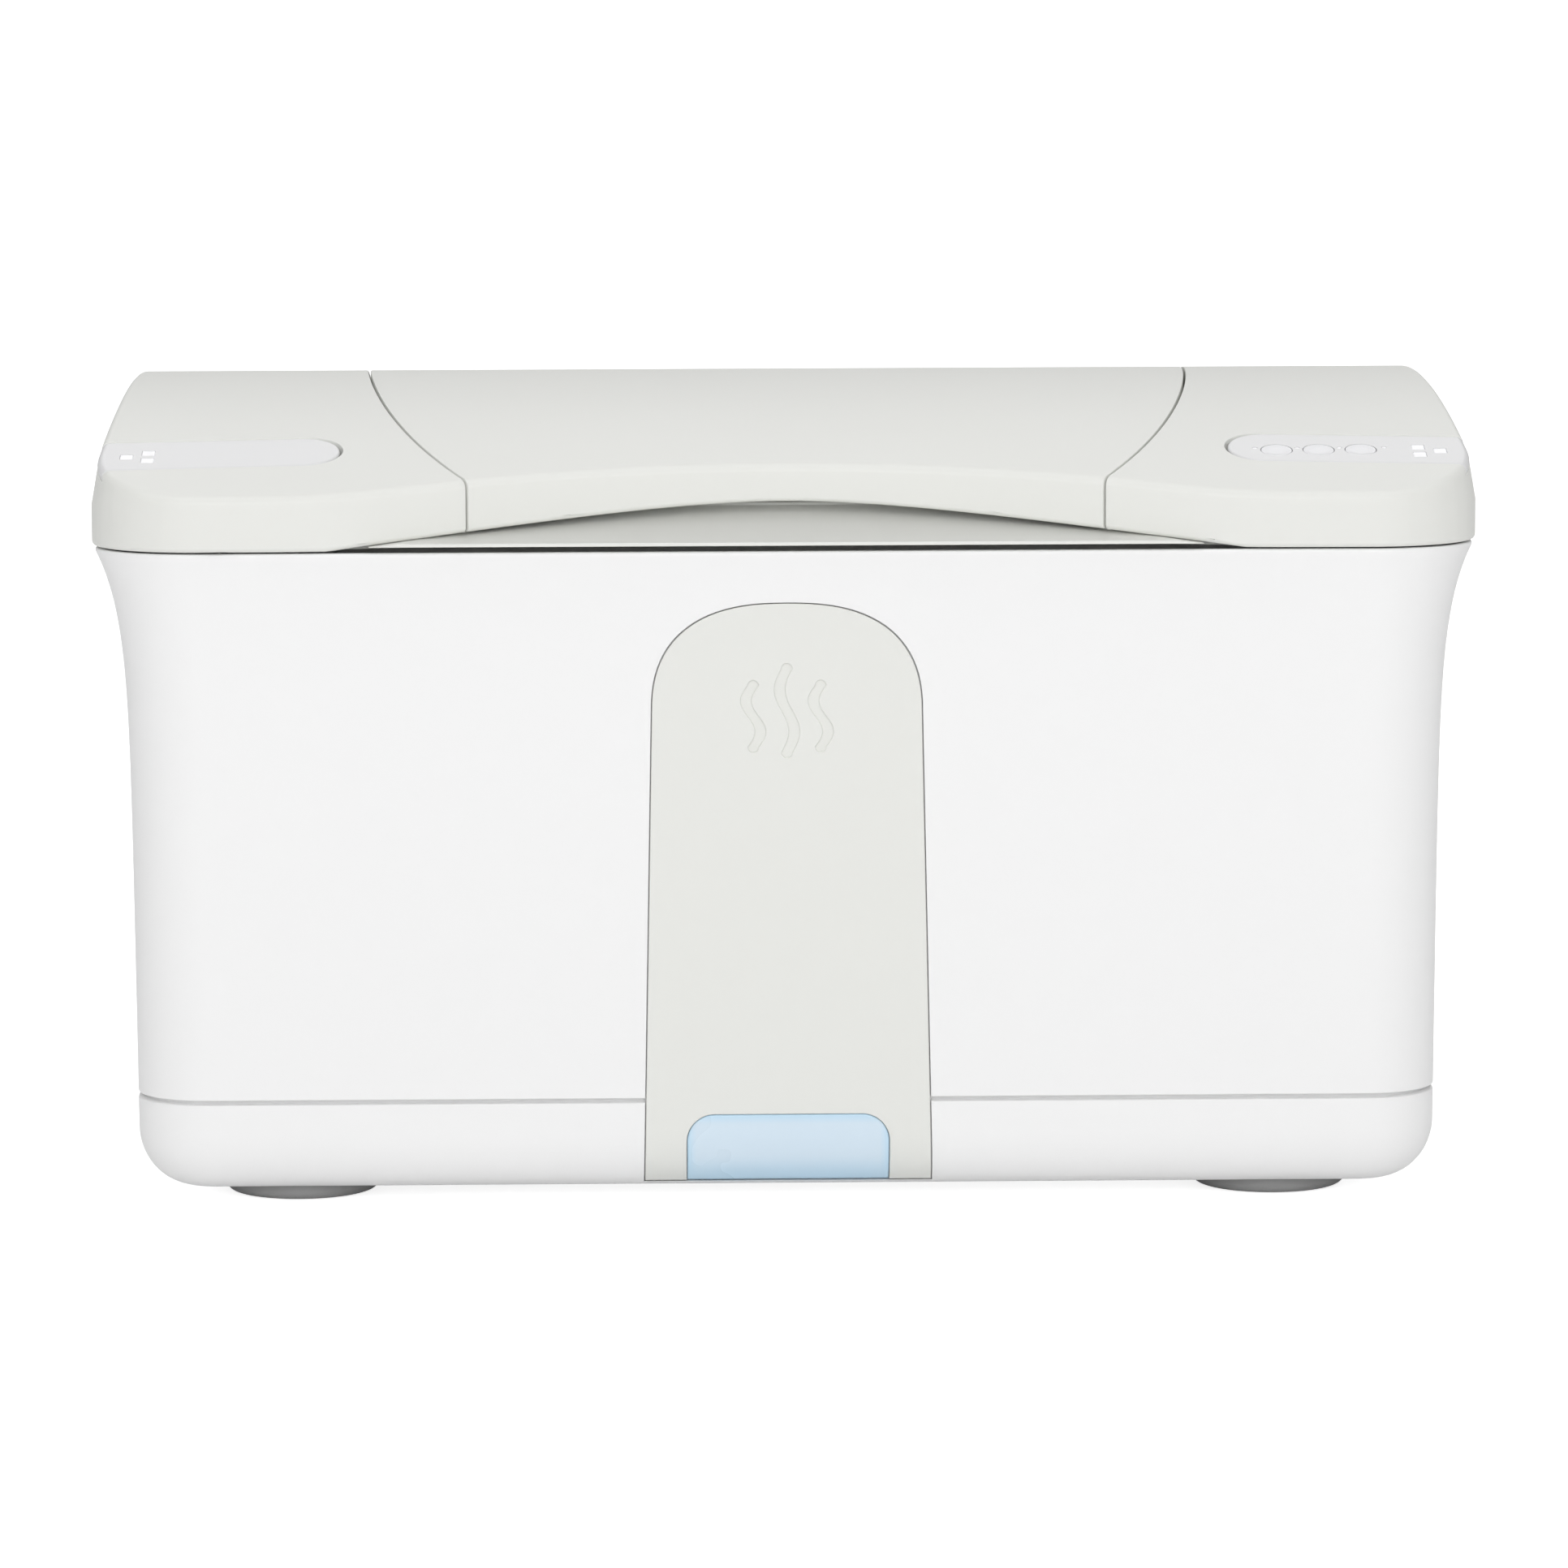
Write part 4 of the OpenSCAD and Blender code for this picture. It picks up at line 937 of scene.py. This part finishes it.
# %% Bending over the dome
def over_dome(piece):
    """Bends a flat piece over the dome. Only what lies above the cage's lower layer moves."""
    def lift(place):
        x, y, z = place / mm
        if z < 128.2:
            return Vector()
        rise = dome(min(LID_DEEP, abs(y - DRAWING_SHIFT)))
        lean = 3 * max(0, rise - 127.9) / 16.6 * max(0, (abs(x) - 90) / 34)
        return Vector((-lean if x > 0 else lean, 0, rise - LID_FLAT)) * mm

    rows(piece, 1, [(y + DRAWING_SHIFT) * mm for y in range(-88, 89, 3)])
    rows(piece, 2, [125.5 * mm])
    warp(piece, at(-124, -92, 127.5), at(124, 92, 129), (9, 64, 2), 1, lift)


print("a flat block's top at", LID_FLAT, "mm rises to the dome")

# %% [markdown]
# ## The lid's cover
# The cover carries both wings and the strip behind the flap. It is a hollow moulding with walls
# 2.4 mm thick. Two shallow slots take the light strips, and a ledge in each holds the strip up.


# %% A strip's outline
STRIP_X, STRIP_Y, STRIP_HALF, STRIP_REACH = 100, -69.2, 6.7, 20.4


def strip_prism(side, grow, tip=0, low=130.9, high=150):
    """A prism with a light strip's outline: straight, with a round inner end, turned a little."""
    half, turn = STRIP_HALF + grow, radians(-3 * side)
    inner = half - STRIP_REACH - grow - tip
    outline = [(40, -half), (40, half)]
    outline += [(inner + half * cos(radians(a)), half * sin(radians(a))) for a in range(90, 271, 9)]
    points = [(side * x, y) for x, y in outline]
    return prism("strip_tool", [
        (side * STRIP_X + x * cos(turn) - y * sin(turn), STRIP_Y + x * sin(turn) + y * cos(turn))
        for x, y in points], low, high)


print("a strip is", 2 * STRIP_HALF, "mm wide")


# %% The space over the finger ramp
def ramp_profile(lift, start):
    """What lies under the ramp's curve, lifted a little, from a distance behind the lid's front."""
    backs = [start + (RAMP_LENGTH - start) * step / 12 for step in range(13)]
    curve = [(back - LID_DEEP, RAMP_LOW + lift + RAMP_RISE * (back / RAMP_LENGTH) ** 2)
             for back in reversed(backs)]
    return [(start - LID_DEEP, 100), (-66, 100), (-66, RAMP_LOW + RAMP_RISE + lift)] + curve


print("the ramp's curve has", len(ramp_profile(0, 0)) - 3, "points")

# %% The cover
cover = lid_block("lid_cover", 0, LID_LOW, LID_FLAT)
print("top edges rounded:", soften(cover, top_edge, TOP_ROUND, 5))
cut(cover, flap_prism(0, WELL_REAR))
cut(cover, arch_tool())
core = lid_block("core_tool", LID_WALL, 100, LID_FLAT - LID_WALL)
cut(core, flap_prism(-LID_WALL, WELL_REAR + LID_WALL))
cut(cover, core)
cut(cover, lid_block("recess_tool", LID_WALL, 100, 120.3))
cut(cover, profile_bar("ramp_room", ramp_profile(0.4, 7), 79.5))
for side in (-1, 1):
    cut(cover, strip_prism(side, 0.15, 0.4))
cut(cover, profile_bar("relief_tool", [(60, 130.4), (WELL_REAR, 130.4), (66.3, 134), (60, 134)], 78.9))
print("cover so far:", len(cover.data.polygons), "faces,", filled(cover), "cubic cm")


# %% Soft edges on the cover
def low_outer_edge(edge):
    """True for the cover's outer bottom edge."""
    x, y, z = middle_of(edge)
    walls = [face for face in edge.link_faces if abs(face.normal.z) < 0.1]
    outside = abs(x) > 121.7 or abs(y) > 86.7 or abs(x) > 100 and abs(y) > 65
    return abs(z - LID_LOW) < 0.1 and len(walls) == 1 and outside


def arch_front(edge):
    """True for the arched edge at the front of the flap or of a wing."""
    x, y, z = middle_of(edge)
    walls = [face for face in edge.link_faces if face.normal.y < -0.7]
    return abs(z - arch_height(x)) < 0.15 and len(walls) == 1 and y < hollow(x) - LID_DEEP + 0.3


print("outer bottom edges:",
      soften(cover, lambda edge: low_outer_edge(edge) or arch_front(edge), 0.85, 4))
round_edges(cover, 0.22, 2, 40, use_clamp_overlap=False)
over_dome(cover)
finish(cover, "lid", warm_grey_plastic, ["lid_top"])

# %% [markdown]
# ## The flap
# The flap is cut from the same form, with an even gap on each side. Its front edge is arched and
# thick, and its underside is open, closed by a liner that carries the seal.

# %% The flap
flap = lid_block("dispensing_flap", 0, LID_LOW, LID_FLAT)
soften(flap, top_edge, TOP_ROUND, 5)
cut(flap, flap_prism(0.45, 60), "INTERSECT")
cut(flap, arch_tool())
cut(flap, profile_bar("ramp_tool", ramp_profile(0.7, -4), 90))
cut(flap, profile_bar("well_tool", [(-69, 100), (70, 100), (70, 126), (-69, 126)], 90))
core = lid_block("core_tool", 2.2, 100, LID_FLAT - 2.2)
cut(core, flap_prism(2.65, 62, 90, 150), "INTERSECT")
cut(flap, core)
print("flap so far:", len(flap.data.polygons), "faces,", filled(flap), "cubic cm")
print("arched edges:", soften(flap, arch_front, 0.8, 4))
round_edges(flap, 0.22, 2, 40, use_clamp_overlap=False)
over_dome(flap)
finish(flap, "flap", warm_grey_plastic, ["flap_shell"])

# %% [markdown]
# ## Light strips and buttons
# Each strip is a slip of milky lilac plastic, a hair below the lid's surface. Its outer end
# has three windows for lit squares, and the right one also holds three round buttons and the
# pin holes of four indicator lights. These stand square to a seat that follows the dome's slope.

# %% The seat under the strips
SEAT_Y = 70.2
TILT = asin(SEAT_Y / DOME_RADIUS)
OUTWARD = Vector((0, -sin(TILT), cos(TILT)))
TILES = [(113.7, 1.1), (113.7, -2.5), (117.5, -0.8)]
BUTTONS = [("power_button", 88.2), ("heat_button", 95.75), ("light_button", 103.3)]
INDICATORS = [84.4, 92.0, 99.55, 107.6]


def on_seat(x, y=0, z=0):
    """A place on the seat, where y runs up the slope and z stands out of it."""
    return at(x, y * cos(TILT) - z * sin(TILT) - SEAT_Y, dome(SEAT_Y) + y * sin(TILT) + z * cos(TILT))


def peg(name, radius, x, y, low, high, sides=48):
    """A round peg that stands on the seat."""
    rest()
    bpy.ops.mesh.primitive_cylinder_add(
        vertices=sides, radius=radius * mm, depth=(high - low) * mm,
        location=on_seat(x, y, (low + high) / 2), rotation=(TILT, 0, 0))
    return named(name)


def tile_block(name, x, y, half, low, high):
    """A square block that stands on the seat."""
    rest()
    bpy.ops.mesh.primitive_cube_add(
        size=2 * mm, location=on_seat(x, y, (low + high) / 2), rotation=(TILT, 0, 0),
        scale=(half, half, (high - low) / 2))
    return named(name)


print("the seat is tilted by", round(TILT * 180 / pi, 2), "degrees")

# %% The strips
for side, name, node in ((-1, "left_strip", "left_light_strip"), (1, "right_strip", "right_control_strip")):
    strip = lid_block(name, 0.08, 100, LID_FLAT - 0.08)
    soften(strip, top_edge, TOP_ROUND, 5)
    cut(strip, strip_prism(side, 0), "INTERSECT")
    round_edges(strip, 0.5, 4, 40)
    over_dome(strip)
    for x, y in TILES:
        cut(strip, tile_block("tile_tool", side * x, y, 1.2, -0.8, 5))
    if side > 0:
        for _, x in BUTTONS:
            cut(strip, peg("button_tool", 2.9, x, 0, -8, 8, 64))
        for x in INDICATORS:
            cut(strip, peg("pin_tool", 0.5, x, 1.1, -8, 8, 24))
    finish(strip, "lid", lilac_plastic, [node])

# %% The lit squares
for side, node in ((-1, "left_light_tiles"), (1, "right_light_tiles")):
    tiles = []
    for x, y in TILES:
        tiles.append(tile_block("tile", side * x, y, 1.15, -0.8, -0.12))
        round_edges(tiles[-1], 0.18, 3, 30)
    lit = joined(tiles, node.replace("light_tiles", "lit_squares"))
    finish(lit, "lid", white_light, [node])


# %% The buttons
for name, x in BUTTONS:
    button = peg(name.replace("_button", "_key"), 2.75, x, 0, -1.6, -0.1)
    settle(button)
    edit(button)
    pick("FACE", lambda face: face.normal.dot(OUTWARD) > 0.99)
    bpy.ops.mesh.inset(thickness=0.3 * mm, depth=0)
    bpy.ops.mesh.inset(thickness=0.25 * mm, depth=-0.14 * mm)
    bpy.ops.mesh.inset(thickness=0.9 * mm, depth=-0.05 * mm)
    pick("FACE", lambda face: face.normal.dot(OUTWARD) < -0.99)
    bpy.ops.mesh.inset(thickness=1.55 * mm, depth=0)
    stem = on_seat(0, 0, -2.6) - on_seat(0)
    bpy.ops.mesh.extrude_region_move(TRANSFORM_OT_translate={"value": stem})
    round_edges(button, 0.12, 3, 35)
    finish(button, name, button_plastic, [name])

# %% The indicator lights
pins = []
for x in INDICATORS:
    pins.append(peg("pin", 0.45, x, 1.1, -7, -0.15, 20))
    round_edges(pins[-1], 0.2, 3, 40)
finish(joined(pins, "indicator_pins"), "lid", white_light, ["indicator_lights"])

# %% [markdown]
# ## Feet
# A rubber foot is a low disc with a rounded rim and a dished underside that grips the table.

# %% The feet
for name, x, y in (("front_left", -88, -62), ("front_right", 88, -62),
                   ("rear_left", -88, 62), ("rear_right", 88, 62)):
    rest()
    bpy.ops.mesh.primitive_cylinder_add(
        vertices=72, radius=14 * mm, depth=2.8 * mm, location=at(x, y, 1.4))
    pad = named("rubber_foot_" + name)
    settle(pad)
    edit(pad)
    pick("EDGE", lambda edge: all(vertex.co.z < 0.001 * mm for vertex in edge.verts))
    bpy.ops.mesh.bevel(offset=1.7 * mm, segments=7, affect="EDGES")
    pick("FACE", lambda face: face.normal.z < -0.999 and len(face.verts) > 8)
    bpy.ops.mesh.inset(thickness=2.4 * mm, depth=0)
    bpy.ops.mesh.inset(thickness=0.6 * mm, depth=-0.6 * mm)
    bpy.ops.mesh.inset(thickness=3.2 * mm, depth=0)
    round_edges(pad, 0.25, 3, 30)
    finish(pad, "body", grey_rubber, ["foot_" + name])

# %% [markdown]
# ## Pieces kept from the frame
# The CAD's smaller mouldings have the right shape but knife-sharp edges, which catch no light.
# A copy of each is merged into one clean mesh and gets a small bevel. What is out of sight keeps
# its mesh and only gets its finish.


# %% Dressing a CAD piece
def dress(node, body, material, slot, width, tool):
    """Stands for a CAD node by a merged copy of it with soft edges, first cut by a tool if need be."""
    rest()
    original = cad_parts[node]
    piece = original.copy()
    piece.data = original.data.copy()
    bpy.context.scene.collection.objects.link(piece)
    piece.parent = None
    piece.matrix_world = Matrix.Identity(4)
    piece.name = piece.data.name = node + "_finished"
    edit(piece)
    bpy.ops.mesh.remove_doubles(threshold=0.01 * mm)
    bpy.ops.mesh.dissolve_limited(angle_limit=radians(0.6))
    rest()
    if tool:
        cut(piece, tool)
    round_edges(piece, width, 2, 35)
    return finish(piece, body, material, [node])


LIP_HALF = 80
lip_widths = [LIP_HALF - 2 * step for step in range(LIP_HALF + 1)]
lip_ends = [(LIP_HALF, 150)] + [(x, arch_height(x) - 0.1) for x in lip_widths] + [(-LIP_HALF, 150)]
lip_tool = trace("lip_tool", [at(x, -95, z) for x, z in lip_ends], Vector((0, 13 * mm, 0)))
grey = (warm_grey_plastic, "warm_grey_plastic")
white = (white_plastic, "white_plastic")
black = (black_plastic, "black_plastic")
rubbery = (white_silicone, "white_silicone")
for node, body, finish_and_slot, width, tool in (
        ("lid_liner", "lid", grey, 0.3, lip_tool),
        ("flap_liner", "flap", grey, 0.25, None),
        ("inner_tub", "body", (inner_plastic, "white_plastic"), 0.4, None),
        ("lid_seal", "lid", rubbery, 0.5, None),
        ("flap_seal", "flap", rubbery, 0.5, None),
        ("flap_barrel", "flap", grey, 0.3, None),
        ("body_hinge_left", "body", white, 0.3, None),
        ("body_hinge_right", "body", white, 0.3, None),
        ("lid_hinge_left", "lid", grey, 0.3, None),
        ("lid_hinge_right", "lid", grey, 0.3, None),
        ("flap_bracket_left", "lid", grey, 0.3, None),
        ("flap_bracket_right", "lid", grey, 0.3, None),
        ("dc_bezel", "body", black, 0.25, None),
        ("dc_socket", "body", black, 0.2, None)):
    dress(node, body, *finish_and_slot, width, tool)

# %% Finishes on the pieces out of sight
record_slots = {
    "steel": steel, "aluminium_sheet": aluminium_sheet, "heater_film": heater_film, "foam": foam,
    "circuit_board": circuit_board, "black_plastic": black_plastic, "red_wire": red_wire,
    "white_light": white_light, "white_plastic": white_plastic, "warm_grey_plastic": warm_grey_plastic,
    "lilac_plastic": lilac_plastic, "blue_window": blue_window, "grey_rubber": grey_rubber,
    "white_silicone": white_silicone}
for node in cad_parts.values():
    for place in node.material_slots:
        title = place.material.name.split(".")[0]
        place.material = record_slots[title]
print("finishes given to", len(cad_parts), "CAD nodes")
